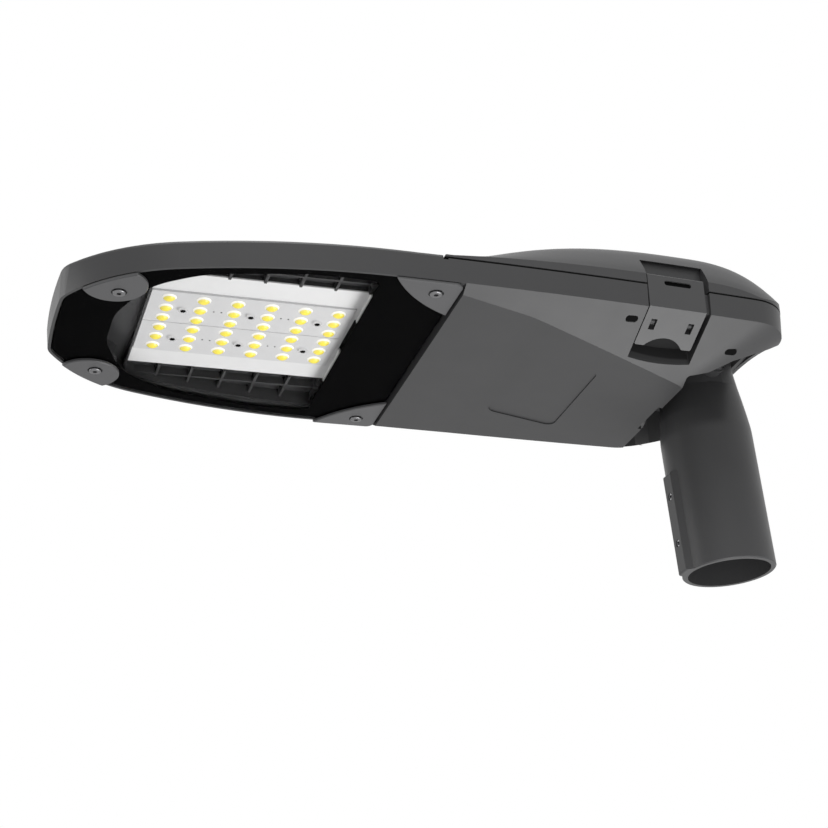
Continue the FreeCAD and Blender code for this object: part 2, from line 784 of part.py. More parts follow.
def glass_seat(inset, gap, rear_x, z0, z1):
    """Plan form inside the rim of the glass, kept clear of the clamp lands."""
    form = between_x(plan_form(inset, z0, z1), -FAR, rear_x)
    return form.cut(all_lands(gap, z0 - 1, z1 + 1))


def glass_z():
    """Lower face, upper face and seat of the glass."""
    top = GLASS_FACE_Z + GLASS_T
    return (GLASS_FACE_Z, top, top + GASKET_T)


def chamber():
    """Space over the glass, round the pad, ribs and bosses that stand in it."""
    seat = glass_z()[2]
    top = ROOF_Z - ROOF_WALL
    space = glass_seat(CHAMBER_INSET, CHAMBER_INSET - GLASS_RIM - GASKET_SIDE, CHAMBER_REAR_X, seat - 1, top)
    pad_z = BOARD_Z + BOARD_T + PLATE_T
    pad = block(PLATE_FRONT_X, PLATE_REAR_X, -PLATE_HALF_W, PLATE_HALF_W, pad_z, top + 1)
    things = [pad]
    for i in range(CHAMBER_RIB_COUNT):
        x = (i - (CHAMBER_RIB_COUNT - 1) / 2) * CHAMBER_RIB_PITCH
        half = CHAMBER_RIB_T / 2
        things.append(block(x - half, x + half, -FAR, FAR, top - CHAMBER_RIB_H, top + 1))
    reach = CHAMBER_RIB_PITCH * (CHAMBER_RIB_COUNT - 1) / 2
    for y in (-CHAMBER_RIB_Y, CHAMBER_RIB_Y):
        half = CHAMBER_RIB_T / 2
        things.append(block(-reach, reach, y - half, y + half, top - CHAMBER_RIB_H, top + 1))
        for x in (-reach, reach):
            things.append(rod(x, y, top - CHAMBER_BOSS_H, CHAMBER_BOSS_R, CHAMBER_BOSS_H + 1))
    ribs = things[1:]
    clear = block(PLATE_FRONT_X, PLATE_REAR_X, -PLATE_HALF_W - 0.5, PLATE_HALF_W + 0.5, 0, FAR)
    ribs = [rib.cut(clear) for rib in ribs]
    return space.cut([pad] + ribs)


def fins():
    """Lengthwise cooling fins on the roof."""
    bars = []
    for i in range(FIN_COUNT):
        y = (i - (FIN_COUNT - 1) / 2) * FIN_PITCH
        top = ROOF_Z + FIN_H
        points = [
            (FIN_FRONT_X, ROOF_Z - 1, 0),
            (FIN_REAR_X, ROOF_Z - 1, 0),
            (FIN_REAR_X, top, FIN_END_R),
            (FIN_FRONT_X, top, FIN_END_R),
        ]
        bars.append(rounded_along_y(points, y - FIN_T / 2, y + FIN_T / 2))
    limit = plan_form(FIN_INSET, ROOF_Z - 1, ROOF_Z + FIN_H + 1, False)
    return [bar.common(limit) for bar in bars]


def hinge_trough():
    """Trough across the head that holds the lid's hinge."""
    trough = plan_form(WALL + 1, TROUGH_Z, ROOF_Z + 1)
    return between_x(trough, ROOF_END_X, TUB_X)


def hinge_ear_spans():
    """Y extents of the ears on both sides of each hinge barrel."""
    spans = []
    near = HINGE_W / 2 + HINGE_GAP
    for side in (-1, 1):
        for out in (-1, 1):
            y0, y1 = sorted((out * near, out * (near + HINGE_EAR_W)))
            spans.append((y0 + side * HINGE_Y, y1 + side * HINGE_Y))
    return spans


def hinge_ears():
    """Ears in the trough that carry the hinge pins."""
    ears = []
    for y0, y1 in hinge_ear_spans():
        ears.append(rod(HINGE_X, y0, HINGE_Z, HINGE_EAR_R, HINGE_EAR_W, Vector(0, 1, 0)))
        ears.append(block(HINGE_X - HINGE_EAR_R, HINGE_X + HINGE_EAR_R, y0, y1, TROUGH_Z - 0.5, HINGE_Z))
    return ears


def hinge_pin_half():
    """Half length of a lid hinge pin."""
    return HINGE_W / 2 + HINGE_GAP + HINGE_EAR_W


def hinge_bores(radius):
    """Cylinders through both hinge places of the lid."""
    bars = []
    half = hinge_pin_half()
    for side in (-1, 1):
        y = side * HINGE_Y - half
        bars.append(rod(HINGE_X, y, HINGE_Z, radius, 2 * half, Vector(0, 1, 0)))
    return bars


def seal_ring(z0, z1, spread=0.0):
    """Ring round the mouth of the gear compartment."""
    def ring_part(inset, trim):
        form = plan_form(inset, z0, z1, False)
        return between_x(form, SEAL_FRONT_X + trim, SEAL_REAR_X - trim)
    outside = ring_part(SEAL_INSET + spread, spread)
    return outside.cut(ring_part(SEAL_INSET + SEAL_W - spread, SEAL_W - spread))


def drain_holes():
    """Oblong blind holes in the band on both sides."""
    holes = []
    lift = BAND_SLOPE
    for x, y in DRAIN_HOLES:
        half, r = DRAIN_L / 2, DRAIN_W / 2 - 0.01
        z = RIM_Z - lift * (half_width(x) - LOWER_INSET - y) + DRAIN_DEPTH
        hole = rounded_block(x - half, x + half, y - DRAIN_W / 2, y + DRAIN_W / 2, -FAR, z, r)
        holes += [hole, mirrored(hole)]
    return holes


def floor_panel():
    """Shallow sunk panel in the floor of the gear compartment."""
    x0, x1 = PANEL_X
    plan = rounded_block(x0, x1, -PANEL_HALF_W, PANEL_HALF_W, -FAR, RIM_Z, PANEL_CORNER_R)
    return plan.cut(floor_region(TUB_X, PANEL_DEPTH))


def clamp_screw_bores():
    """Threaded holes for the glass clamp screws."""
    bores = []
    for x, y in (FRONT_SCREW, REAR_SCREW):
        bore = rod(x, y, RIM_Z - 1, CLAMP_SCREW_R, CLAMP_SCREW_L - CLAMP_T + 2)
        bores += [bore, mirrored(bore)]
    return bores


def board_screw_places():
    """Places of the screws that hold the boards and the plate."""
    return [(x, y) for x in BOARD_SCREW_XS for y in (-BOARD_SCREW_Y, BOARD_SCREW_Y)]


def rounded_wall():
    """Side wall and roof in one, with a rounded upper edge."""
    body = wall_form(0.0)
    return body.makeFillet(ROOF_EDGE_R, edges_at_z(body, ROOF_Z))


def gland_axis():
    """Point and direction of the cable gland in the front wall of the bay."""
    return Vector(BAY_FRONT_X - WALL, GLAND_Y, GLAND_Z), Vector(1, 0, 0)


def housing():
    """One casting: optical chamber, gear compartment, bay for the spigot and cooling fins."""
    body = rounded_wall().fuse(band_form(0.0).common(floor_region(TUB_X, 0.0)))
    body = body.cut(floor_panel())
    body = body.cut(tub_hollow())
    body = body.cut(block(ROOF_END_X, FAR, -FAR, FAR, SEAM_Z, FAR))
    body = body.fuse(bay_recess(WALL).cut(block(0, FAR, -FAR, FAR, -FAR, BAY_CEILING_Z)))
    bay = bay_plan(0.0, -FAR, BAY_CEILING_Z)
    rear_wall = plan_form(0.0, -FAR, FAR, False).cut(plan_form(WALL, -FAR, FAR, False))
    arch = rod(0, 0, BAY_CEILING_Z - ARCH_R, ARCH_R, FAR, Vector(1, 0, 0))
    kept = rear_wall.common(block(BAY_REAR_WALL_X, FAR, -BAY_REAR_HALF_W, BAY_REAR_HALF_W, -FAR, FAR)).cut(arch)
    kept = kept.common(block(0, FAR, -FAR, FAR, ARCH_LOW_Z, FAR))
    body = body.cut(bay.cut(kept))
    body = body.cut(bay_recess(0.0))
    body = body.fuse(bay_ears())
    dip = block(ROOF_END_X, HINGE_X + HINGE_DIP, -FAR, FAR, SEAM_Z - HINGE_DIP, ROOF_Z)
    body = body.cut([hinge_trough(), dip])
    body = body.fuse(hinge_ears())
    body = body.cut(hinge_bores(HINGE_PIN_R))
    body = body.cut(knuckle_cylinder(TILT_BOLT_R + TILT_BORE_GAP, EAR_Y0 + EAR_T + 1))
    low, top, seat = glass_z()
    body = body.cut(glass_seat(GLASS_RIM - GLASS_GAP, 0.0, TUB_X, low - 1, seat))
    body = body.cut(chamber())
    body = body.fuse(fins())
    body = body.cut(seal_ring(SEAM_Z - SEAL_GROOVE, ROOF_Z))
    recess = place_latch(latch_recess())
    body = body.cut([recess, mirrored(recess)])
    lugs = place_latch(latch_lugs())
    body = body.fuse([lugs, mirrored(lugs)])
    body = body.cut(drain_holes() + clamp_screw_bores())
    point, axis = gland_axis()
    body = body.cut(Part.makeCylinder(GLAND_R, 3 * WALL, point - axis * WALL, axis))
    body = body.cut(rod(CHAMBER_REAR_X - 1, LED_WAY_Y, LED_WAY_Z, LED_WAY_R, FAR / 12, Vector(1, 0, 0)))
    bores = []
    pad_z = BOARD_Z + BOARD_T + PLATE_T
    for x, y in board_screw_places():
        bores.append(rod(x, y, pad_z - 1, BOARD_SCREW_R, BOARD_SCREW_L - BOARD_T - PLATE_T + 1))
    for x in POST_XS:
        for y in (-POST_Y, POST_Y):
            bores.append(rod(x, y, TRAY_Z - GEAR_SCREW_L, GEAR_SCREW_R, GEAR_SCREW_L))
    bores.append(rod(EARTH_X, EARTH_Y, EARTH_Z - GEAR_SCREW_L, GEAR_SCREW_R, GEAR_SCREW_L))
    return body.cut(bores)


def glass():
    """Flat glass, cut back at the corners for the clamp lands."""
    low, top, seat = glass_z()
    return glass_seat(GLASS_RIM, GLASS_GAP, GLASS_REAR_X, low, top)


def window_plan(z0, z1):
    """Clear window inside the printed border: bowed at the nose, straight at the rear."""
    right = [(x, HALF_WIDTH - inset, r) for x, inset, r in WINDOW_CORNERS]
    left = [(x, -y, r) for x, y, r in reversed(right)]
    return rounded_plan(right + left, z0, z1)


def glass_border():
    """Black border on the inner face of the glass."""
    low, top, seat = glass_z()
    z0 = top + BORDER_GAP
    z1 = z0 + BORDER_T
    ring = glass_seat(GLASS_RIM + BORDER_EDGE, GLASS_GAP + BORDER_EDGE, GLASS_REAR_X - BORDER_EDGE, z0, z1)
    return ring.cut(window_plan(z0 - 1, z1 + 1))


def glass_gasket():
    """Soft seal between the glass and the housing."""
    low, top, seat = glass_z()
    low_face = top + BORDER_GAP + BORDER_T
    outer = glass_seat(GLASS_RIM + GASKET_SIDE, GASKET_SIDE - 1, GLASS_REAR_X - GASKET_SIDE * 4, low_face, seat)
    inset = GLASS_RIM + GASKET_SIDE + GASKET_W
    inner = glass_seat(inset, GASKET_SIDE - 1 + GASKET_W, GLASS_REAR_X - GASKET_SIDE * 4 - GASKET_W, top - 1, seat + 1)
    return outer.cut(inner)


def glass_clamp(front):
    """Right-hand clamp at the nose or at the rear of the glass."""
    z0 = GLASS_FACE_Z - CLAMP_T
    screw, angle = (FRONT_SCREW, FRONT_LAND_ANGLE) if front else (REAR_SCREW, REAR_LAND_ANGLE)
    plan = front_clamp_plan(z0) if front else rear_clamp_plan(z0)
    plate = plan.common(block(-FAR, FAR, -FAR, FAR, z0, GLASS_FACE_Z))
    plate = bevelled(plate, z0)
    foot = corner_land(screw, angle, -CLAMP_FOOT_GAP, GLASS_FACE_Z - CLAMP_T / 4, RIM_Z)
    foot = foot.common(plan).common(plan_form(CLAMP_INSET + CLAMP_FOOT_INSET, z0, RIM_Z))
    plate = plate.fuse(foot)
    plate = plate.cut(rod(screw[0], screw[1], z0, CLAMP_SCREW_R + CLAMP_BORE_GAP, RIM_Z - z0))
    return plate.cut(rod(screw[0], screw[1], z0, CLAMP_HEAD_R + CLAMP_HEAD_GAP, CLAMP_SINK))


def front_clamp_plan(z0):
    """Upright solid on the plan of a front clamp: a round lobe within the rim."""
    lobe = rod(FRONT_CLAMP_X, FRONT_CLAMP_Y, z0, FRONT_CLAMP_R, RIM_Z - z0)
    return lobe.common(plan_form(CLAMP_INSET, z0, RIM_Z))


def rear_clamp_plan(z0):
    """Upright solid on the plan of a rear clamp: bowed inside, rounded at the outer rear corner."""
    (x0, y0), (x1, y1) = REAR_CLAMP_FROM, REAR_CLAMP_TO
    middle = rear_clamp_middle()
    bow = Part.Arc(Vector(x0, y0, z0), Vector(*middle, z0), Vector(x1, y1, z0)).toShape()
    corners = [Vector(x1, y1, z0), Vector(x1, FAR, z0), Vector(x0, FAR, z0), Vector(x0, y0, z0)]
    sides = [Part.makeLine(a, b) for a, b in zip(corners, corners[1:])]
    plan = prism(Part.Wire([bow] + sides), RIM_Z - z0).common(plan_form(CLAMP_INSET, z0, RIM_Z))
    outer = [e for e in plan.Edges if upright_at(e, x1) and e.Vertexes[0].Y > REAR_SCREW[1]]
    return plan.makeFillet(REAR_CLAMP_CORNER_R, outer)


def upright_at(edge, x):
    """Whether an edge stands upright at X."""
    ends = [v.Point for v in edge.Vertexes]
    return len(ends) == 2 and all(abs(p.x - x) < NEAR for p in ends) and abs(ends[0].y - ends[1].y) < NEAR


def bevelled(plate, z0):
    """Bevel the lower edges of a flat plate."""
    return plate.makeChamfer(CLAMP_BEVEL, edges_at_z(plate, z0))


def edges_at_z(shape, z):
    """Edges of a shape that lie level at a height."""
    return [e for e in shape.Edges if all(abs(v.Z - z) < NEAR for v in e.Vertexes)]


def rear_clamp_middle():
    """Middle point of the bowed inner edge of a rear clamp."""
    (x0, y0), (x1, y1) = REAR_CLAMP_FROM, REAR_CLAMP_TO
    chord = math.hypot(x1 - x0, y1 - y0)
    bow = REAR_CLAMP_R - math.sqrt(REAR_CLAMP_R ** 2 - chord ** 2 / 4)
    nx, ny = unit(y1 - y0, x0 - x1)
    return ((x0 + x1) / 2 + nx * bow, (y0 + y1) / 2 + ny * bow)


def clamp_screws():
    """Socket-head screws of the four glass clamps."""
    screws = []
    face = GLASS_FACE_Z - CLAMP_T + CLAMP_SINK
    for x, y in (FRONT_SCREW, REAR_SCREW):
        head = rod(x, y, face - CLAMP_HEAD_H, CLAMP_HEAD_R, CLAMP_HEAD_H)
        head = head.makeFillet(CLAMP_HEAD_EDGE_R, edges_at_z(head, face - CLAMP_HEAD_H))
        shank = rod(x, y, face, CLAMP_SCREW_R, CLAMP_SCREW_L)
        socket = hexagon(x, y, face - CLAMP_HEAD_H, SCREW_SOCKET_R, SCREW_SOCKET_H)
        screw = head.fuse(shank).cut(socket)
        screws += [screw, mirrored(screw)]
    return solids_of(screws)


def reflector_plate():
    """White plate over the heat pad, with a turned-down rear edge."""
    z0 = BOARD_Z + BOARD_T
    z1 = z0 + PLATE_T
    plate = block(PLATE_FRONT_X, PLATE_REAR_X, -PLATE_HALF_W, PLATE_HALF_W, z0, z1)
    lip = block(PLATE_REAR_X, PLATE_REAR_X + PLATE_T, -PLATE_HALF_W, PLATE_HALF_W, z0 - PLATE_FLANGE_H, z1)
    notch = block(PLATE_REAR_X - 1, PLATE_REAR_X + 2 * PLATE_T, PLATE_NOTCH_Y[0], PLATE_NOTCH_Y[1], -FAR, FAR)
    plate = plate.fuse(lip).cut(notch)
    holes = [rod(x, y, z0 - 1, BOARD_SCREW_R, PLATE_T + 2) for x, y in board_screw_places()]
    return plate.cut(holes)


def led_board():
    """Right-hand LED board."""
    board = block(BOARD_FRONT_X, BOARD_REAR_X, BOARD_SEAM / 2, BOARD_SEAM / 2 + BOARD_W, BOARD_Z, BOARD_Z + BOARD_T)
    holes = [rod(x, y, BOARD_Z - 1, BOARD_SCREW_R, BOARD_T + 2) for x, y in board_screw_places()]
    return board.cut(holes)


def led_places():
    """Middle of every LED."""
    places = []
    for i in range(LED_COLUMNS):
        for j in range(LED_ROWS):
            x = (i - (LED_COLUMNS - 1) / 2) * LED_PITCH_X
            y = (j - (LED_ROWS - 1) / 2) * LED_PITCH_Y
            places.append((x, y))
    return places


def led_packages():
    """LED bodies on the boards."""
    half = LED_BODY / 2
    z0 = BOARD_Z - LED_BODY_T
    return solids_of([block(x - half, x + half, y - half, y + half, z0, BOARD_Z) for x, y in led_places()])


def led_lenses():
    """Yellow domes over the LEDs."""
    domes = []
    radius = (LED_LENS_R ** 2 + LED_LENS_H ** 2) / (2 * LED_LENS_H)
    z0 = BOARD_Z - LED_BODY_T
    for x, y in led_places():
        ball = Part.makeSphere(radius, Vector(x, y, z0 - LED_LENS_H + radius))
        domes.append(ball.common(block(x - radius, x + radius, y - radius, y + radius, z0 - LED_LENS_H - 1, z0)))
    return solids_of(domes)


def board_screws():
    """Screws that hold the boards and the plate to the pad."""
    screws = []
    for x, y in board_screw_places():
        head = rod(x, y, BOARD_Z - BOARD_HEAD_H, BOARD_HEAD_R, BOARD_HEAD_H)
        screws.append(head.fuse(rod(x, y, BOARD_Z, BOARD_SCREW_R, BOARD_SCREW_L)))
    return solids_of(screws)


def dome_height(x, v):
    """Height of the lid at X, at a share v of the half width."""
    side = 1 - abs(v) ** DOME_SIDE_POWER
    if x < DOME_TOP_X:
        s = (DOME_TOP_X - x) / (DOME_TOP_X - DOME_FRONT_X)
        return ROOF_Z + (1 - s ** DOME_FRONT_POWER) * (DOME_RIM_RISE + DOME_RISE * side)
    t = ((x - DOME_TOP_X) / (REAR_X - DOME_TOP_X)) ** DOME_REAR_POWER
    corner = DOME_CORNER_FILL * (1 - side) * t
    return ROOF_Z + DOME_RIM_RISE + DOME_RISE * (side - t + corner)


def under_dome(drop):
    """Everything under the lid's domed surface, lowered by drop."""
    rows = []
    for i in range(DOME_COLUMNS + 1):
        x = DOME_FRONT_X + (REAR_X + 3 - DOME_FRONT_X) * i / DOME_COLUMNS
        row = []
        for j in range(DOME_ROWS + 1):
            v = DOME_OVERLAP * (2 * j / DOME_ROWS - 1)
            row.append(Vector(x, v * half_width(x), dome_height(x, v) - drop))
        rows.append(row)
    surface = Part.BSplineSurface()
    surface.interpolate(rows)
    return surface.toShape().extrude(Vector(0, 0, -FAR))


def latch_pocket(wall):
    """Pocket in the lid for a latch's hinge, with its walls when wall is given."""
    x0, x1 = latch_slab_x()
    y0 = -LID_POCKET_DEPTH - wall
    return block(x0 - wall, x1 + wall, y0, 10 - wall, LID_EDGE_Z - 2, LID_POCKET_Z + wall)


def lid():
    """Domed lid over the gear compartment, hinged at its front edge."""
    edge = plan_form(0.0, LID_EDGE_Z, FAR, False)
    edge = between_x(edge, LID_FRONT_X, FAR)
    dome = edge.common(under_dome(0.0))
    lip = edge.common(block(0, DOME_FRONT_X, -FAR, FAR, LID_EDGE_Z, ROOF_Z))
    front = [e for e in lip.Edges if same_line(e, LID_FRONT_X, ROOF_Z)]
    lip = lip.makeFillet(LID_FRONT_R, front)
    inside = plan_form(LID_WALL, LID_EDGE_Z - FAR / 4, FAR, False)
    inside = between_x(inside, DOME_FRONT_X + LID_WALL, FAR).common(under_dome(LID_DROP))
    pocket = place_latch(latch_pocket(LID_POCKET_WALL))
    pockets = both_sides(pocket)
    inside = inside.cut(pockets)
    body = dome.fuse(lip).cut(inside)
    pad = between_x(plan_form(WALL + 2, LID_PAD_Z, ROOF_Z - 0.5, False), LID_FRONT_X, LID_PAD_REAR_X)
    body = body.fuse(pad)
    body = body.fuse(seal_ring(SEAL_TOP_Z + LID_RIB_GAP, LID_RIB_TOP_Z, (SEAL_W - LID_RIB_T) / 2).common(under_dome(1.0)))
    body = body.cut(both_sides(place_latch(latch_pocket(0.0))))
    barrels = []
    for side in (-1, 1):
        y = side * HINGE_Y - HINGE_W / 2
        barrels.append(rod(HINGE_X, y, HINGE_Z, HINGE_R, HINGE_W, Vector(0, 1, 0)))
    cuts = []
    for y0, y1 in hinge_ear_spans():
        cuts.append(block(0, HINGE_CUT_X, y0 - HINGE_GAP, y1 + HINGE_GAP, 0, FAR))
    body = body.cut(cuts).fuse(barrels)
    return body.cut(hinge_bores(HINGE_PIN_R + HINGE_PIN_GAP))


def same_line(edge, x, z):
    """Whether a straight edge along Y passes through a point of the XZ plane."""
    if len(edge.Vertexes) != 2:
        return False
    return all(abs(v.X - x) < 1e-6 and abs(v.Z - z) < 1e-6 for v in edge.Vertexes)


def gear_tray():
    """Folded tray that carries the gear."""
    x0, x1 = TRAY_X
    top = TRAY_Z + TRAY_T
    w = TRAY_HALF_W
    tray = block(x0, x1, -w, w, TRAY_Z, top)
    for y in (-w, w - TRAY_T):
        tray = tray.fuse(block(x0, x1, y, y + TRAY_T, top, top + TRAY_FLANGE))
    holes = []
    for x in POST_XS:
        for y in (-POST_Y, POST_Y):
            holes.append(rod(x, y, TRAY_Z - 1, GEAR_SCREW_R, TRAY_T + 2))
    for x, y in driver_tab_places():
        holes.append(rod(x, y, TRAY_Z - 1, GEAR_SCREW_R, TRAY_T + 2))
    return tray.cut(holes)


def gear_screws():
    """Screws of the tray on its posts, of the driver's tabs and of the earth point."""
    places = [(x, y, TRAY_Z + TRAY_T) for x in POST_XS for y in (-POST_Y, POST_Y)]
    places += [(x, y, TRAY_Z + TRAY_T + DRIVER_TAB_T) for x, y in driver_tab_places()]
    places.append((EARTH_X, EARTH_Y, EARTH_Z + TRAY_T))
    screws = []
    for x, y, z in places:
        head = rod(x, y, z, GEAR_HEAD_R, GEAR_HEAD_H)
        length = GEAR_SCREW_L if abs(y) > DRIVER_SCREW_BELOW_Y else DRIVER_TAB_T + TRAY_T
        screws.append(head.fuse(rod(x, y, z - length, GEAR_SCREW_R, length)))
    return solids_of(screws)


def earth_terminal():
    """Ring terminal under the earth screw."""
    ring = rod(EARTH_X, EARTH_Y, EARTH_Z, GEAR_HEAD_R + 0.5, TRAY_T)
    tail = block(EARTH_X, EARTH_X + 12, EARTH_Y - 2, EARTH_Y + 2, EARTH_Z, EARTH_Z + TRAY_T)
    return ring.fuse(tail).cut(rod(EARTH_X, EARTH_Y, EARTH_Z - 1, GEAR_SCREW_R, TRAY_T + 2))


def driver_tab_places():
    """Middle of the driver's two fixing tabs."""
    x0, x1 = DRIVER_X
    y = (DRIVER_Y[0] + DRIVER_Y[1]) / 2
    return [(x0 - DRIVER_TAB_L / 2, y), (x1 + DRIVER_TAB_L / 2, y)]


def driver():
    """LED driver in its case, with a tab at each end."""
    (x0, x1), (y0, y1) = DRIVER_X, DRIVER_Y
    z0 = TRAY_Z + TRAY_T
    case = rounded_block(x0, x1, y0, y1, z0, z0 + DRIVER_H, DRIVER_EDGE)
    y = (y0 + y1) / 2
    tabs = block(x0 - DRIVER_TAB_L, x1 + DRIVER_TAB_L, y - DRIVER_TAB_L, y + DRIVER_TAB_L, z0, z0 + DRIVER_TAB_T)
    body = case.fuse(tabs)
    return body.cut([rod(x, y, z0 - 1, GEAR_SCREW_R, DRIVER_TAB_T + 2) for x, y in driver_tab_places()])


def surge_protector():
    """Surge protector beside the driver."""
    z0 = TRAY_Z + TRAY_T
    return rounded_block(*SURGE_X, *SURGE_Y, z0, z0 + SURGE_H, DRIVER_EDGE)


def terminal_block():
    """Mains terminal block with a screw hole and a wire hole for every pole."""
    (x0, x1), (y0, y1) = TERMINAL_X, TERMINAL_Y
    z0 = TRAY_Z + TRAY_T
    body = block(x0, x1, y0, y1, z0, z0 + TERMINAL_H)
    pitch = (x1 - x0) / TERMINAL_WAYS
    holes = []
    for i in range(TERMINAL_WAYS):
        x = x0 + (i + 0.5) * pitch
        y = (y0 + y1) / 2
        holes.append(rod(x, y, z0 + TERMINAL_H / 2, TERMINAL_HOLE_R, TERMINAL_H))
        holes.append(rod(x, y0 - 1, z0 + TERMINAL_H / 3, TERMINAL_HOLE_R, 7, Vector(0, 1, 0)))
    return body.cut(holes)


def cable_gland():
    """Gland for the supply cable, through the front wall of the bay."""
    point, axis = gland_axis()
    outside = point + axis * WALL
    barrel = Part.makeCylinder(GLAND_R, WALL + GLAND_NUT_H + 2, point - axis * (GLAND_NUT_H + 2), axis)
    flange = along_axis(hexagon(0, 0, 0, GLAND_HEX_R, GLAND_HEX_H), outside)
    cap = Part.makeCylinder(GLAND_HEX_R * 0.8, GLAND_CAP_L, outside, axis)
    rim = [e for e in cap.Edges if all(abs(v.X - outside.x - GLAND_CAP_L) < 1e-6 for v in e.Vertexes)]
    cap = cap.makeFillet(2.0, rim)
    bore = Part.makeCylinder(GLAND_BORE_R, FAR / 4, point - axis * FAR / 8, axis)
    return barrel.fuse([flange, cap]).cut(bore)


def gland_nut():
    """Nut that holds the gland from inside."""
    point, axis = gland_axis()
    nut = along_axis(hexagon(0, 0, 0, GLAND_HEX_R, GLAND_NUT_H), point - axis * GLAND_NUT_H)
    return nut.cut(Part.makeCylinder(GLAND_R, FAR / 4, point - axis * FAR / 8, axis))


def along_axis(shape, point):
    """Turn an upright shape so that it runs along X, and place its foot at a point."""
    turned = shape.copy()
    turned.rotate(Vector(0, 0, 0), Vector(0, 1, 0), 90)
    turned.translate(point)
    return turned


def led_cable_grommet():
    """Soft grommet where the LED leads pass into the optical chamber."""
    x = TUB_X + WALL
    flange = rod(x, LED_WAY_Y, LED_WAY_Z, GROMMET_R, GROMMET_T, Vector(1, 0, 0))
    sleeve = rod(x - GROMMET_T, LED_WAY_Y, LED_WAY_Z, LED_WAY_R, GROMMET_T + 1, Vector(1, 0, 0))
    return flange.fuse(sleeve).cut(rod(x - FAR / 8, LED_WAY_Y, LED_WAY_Z, LED_WAY_R - 0.8, FAR / 4, Vector(1, 0, 0)))


def lean(shape):
    """Move a shape from the spigot's own frame, with its origin on the tilt axis, to its place."""
    moved = shape.copy()
    moved.rotate(Vector(0, 0, 0), Vector(0, 1, 0), -SPIGOT_LEAN)
    moved.translate(Vector(PIVOT_X, 0, PIVOT_Z))
    return moved


def soft_ramp(end, x):
    """Straight rise from 0 where the neck starts to 1 at end, with a rounded start."""
    run = max(0.0, min(end, x) - NECK_FROM)
    full = end - NECK_FROM - NECK_ROUNDING / 2
    if run < NECK_ROUNDING:
        return run * run / (2 * NECK_ROUNDING) / full
    return (run - NECK_ROUNDING / 2) / full


def spigot_section(height):
    """Closed curve round the spigot at a height over its mouth: round below, oval at the neck."""
    face = soft_ramp(NECK_FLAT_FROM, height)
    side = soft_ramp(SPIGOT_L, height)
    bevel = max(0.0, TUBE_EDGE - height)
    half_x = TUBE_R - bevel + (NECK_R - TUBE_R) * side
    half_y = TUBE_R - bevel + (NECK_HALF_W + NECK_BULGE - TUBE_R) * face
    power = 2 / (2 + (NECK_SQUARE - 2) * face)
    points = []
    for i in range(NECK_POINTS):
        angle = 2 * math.pi * i / NECK_POINTS
        c, s = math.cos(angle), math.sin(angle)
        x = half_x * math.copysign(abs(c) ** power, c)
        y = half_y * math.copysign(abs(s) ** power, s)
        points.append(Vector(x, y, height - SPIGOT_L))
    curve = Part.BSplineCurve()
    curve.interpolate(Points=points, PeriodicFlag=True)
    return Part.Wire([curve.toShape()])


def spigot_form():
    """Outer form of the spigot: the tube tapers into an oval neck with a round head and two flat faces."""
    bounds = (NECK_FROM, NECK_FROM + NECK_ROUNDING, NECK_FLAT_FROM)
    heights = [0.0, TUBE_EDGE]
    for start, end, steps in zip(bounds, bounds[1:], NECK_STEPS):
        heights += [start + (end - start) * i / steps for i in range(steps)]
    heights += [NECK_FLAT_FROM, SPIGOT_L, SPIGOT_L + NECK_R]
    body = Part.makeLoft([spigot_section(h) for h in heights], True, True)
    reach = 2 * TUBE_R
    head = rod(0, -reach, 0, NECK_R, 2 * reach, Vector(0, 1, 0))
    body = body.common(head.fuse(block(-reach, reach, -reach, reach, -SPIGOT_L, 0)))
    flat_z = NECK_FLAT_FROM - SPIGOT_L
    flats = block(-reach, reach, -NECK_HALF_W, NECK_HALF_W, flat_z, reach)
    return body.common(flats.fuse(block(-reach, reach, -reach, reach, -SPIGOT_L, flat_z)))


def spigot():
    """Pole socket with a flat neck that pivots in the bay."""
    body = spigot_form().fuse(spigot_pad())
    body = body.cut(rod(0, 0, -SPIGOT_L, SOCKET_R, SOCKET_DEPTH))
    way_top = -EAR_R - CABLE_WAY_R / 2
    body = body.cut(rod(0, 0, -SPIGOT_L, CABLE_WAY_R, SPIGOT_L + way_top))
    exit_z = way_top - CABLE_EXIT_R
    body = body.cut(rod(0, 0, exit_z, CABLE_EXIT_R, TUBE_R, Vector(0, 1, 0)))
    bolt_r = TILT_BOLT_R + TILT_BORE_GAP
    body = body.cut(rod(0, -TUBE_R, 0, bolt_r, 2 * TUBE_R, Vector(0, 1, 0)))
    for at in SET_SCREW_AT:
        body = body.cut(rod(-PAD_OUT - 1, 0, at - SPIGOT_L, SET_SCREW_R, PAD_OUT, Vector(1, 0, 0)))
    return lean(body)


def spigot_pad():
    """Thick pad down the front of the tube for the set screws."""
    flare = PAD_HALF_W + PAD_FLARE
    foot = SOCKET_R + 1
    points = [(-foot, -flare), (-foot, flare), (-PAD_OUT, PAD_HALF_W), (-PAD_OUT, -PAD_HALF_W)]
    pad = plan_polygon(points, -SPIGOT_L, PAD_L - SPIGOT_L)
    front = [e for e in pad.Edges if all(abs(v.X + PAD_OUT) < 1e-6 for v in e.Vertexes)]
    return pad.makeFillet(PAD_EDGE_R, front)


def pole_set_screws():
    """Set screws that lock the head on the pole."""
    screws = []
    tip = SOCKET_R + SET_SCREW_BACK
    for at in SET_SCREW_AT:
        x = SET_SCREW_SUNK - PAD_OUT
        body = rod(x, 0, at - SPIGOT_L, SET_SCREW_R, -tip - x, Vector(1, 0, 0))
        socket = along_axis(hexagon(0, 0, 0, SET_SOCKET_R, SET_SOCKET_H), Vector(x, 0, at - SPIGOT_L))
        screws.append(lean(body.cut(socket)))
    return solids_of(screws)


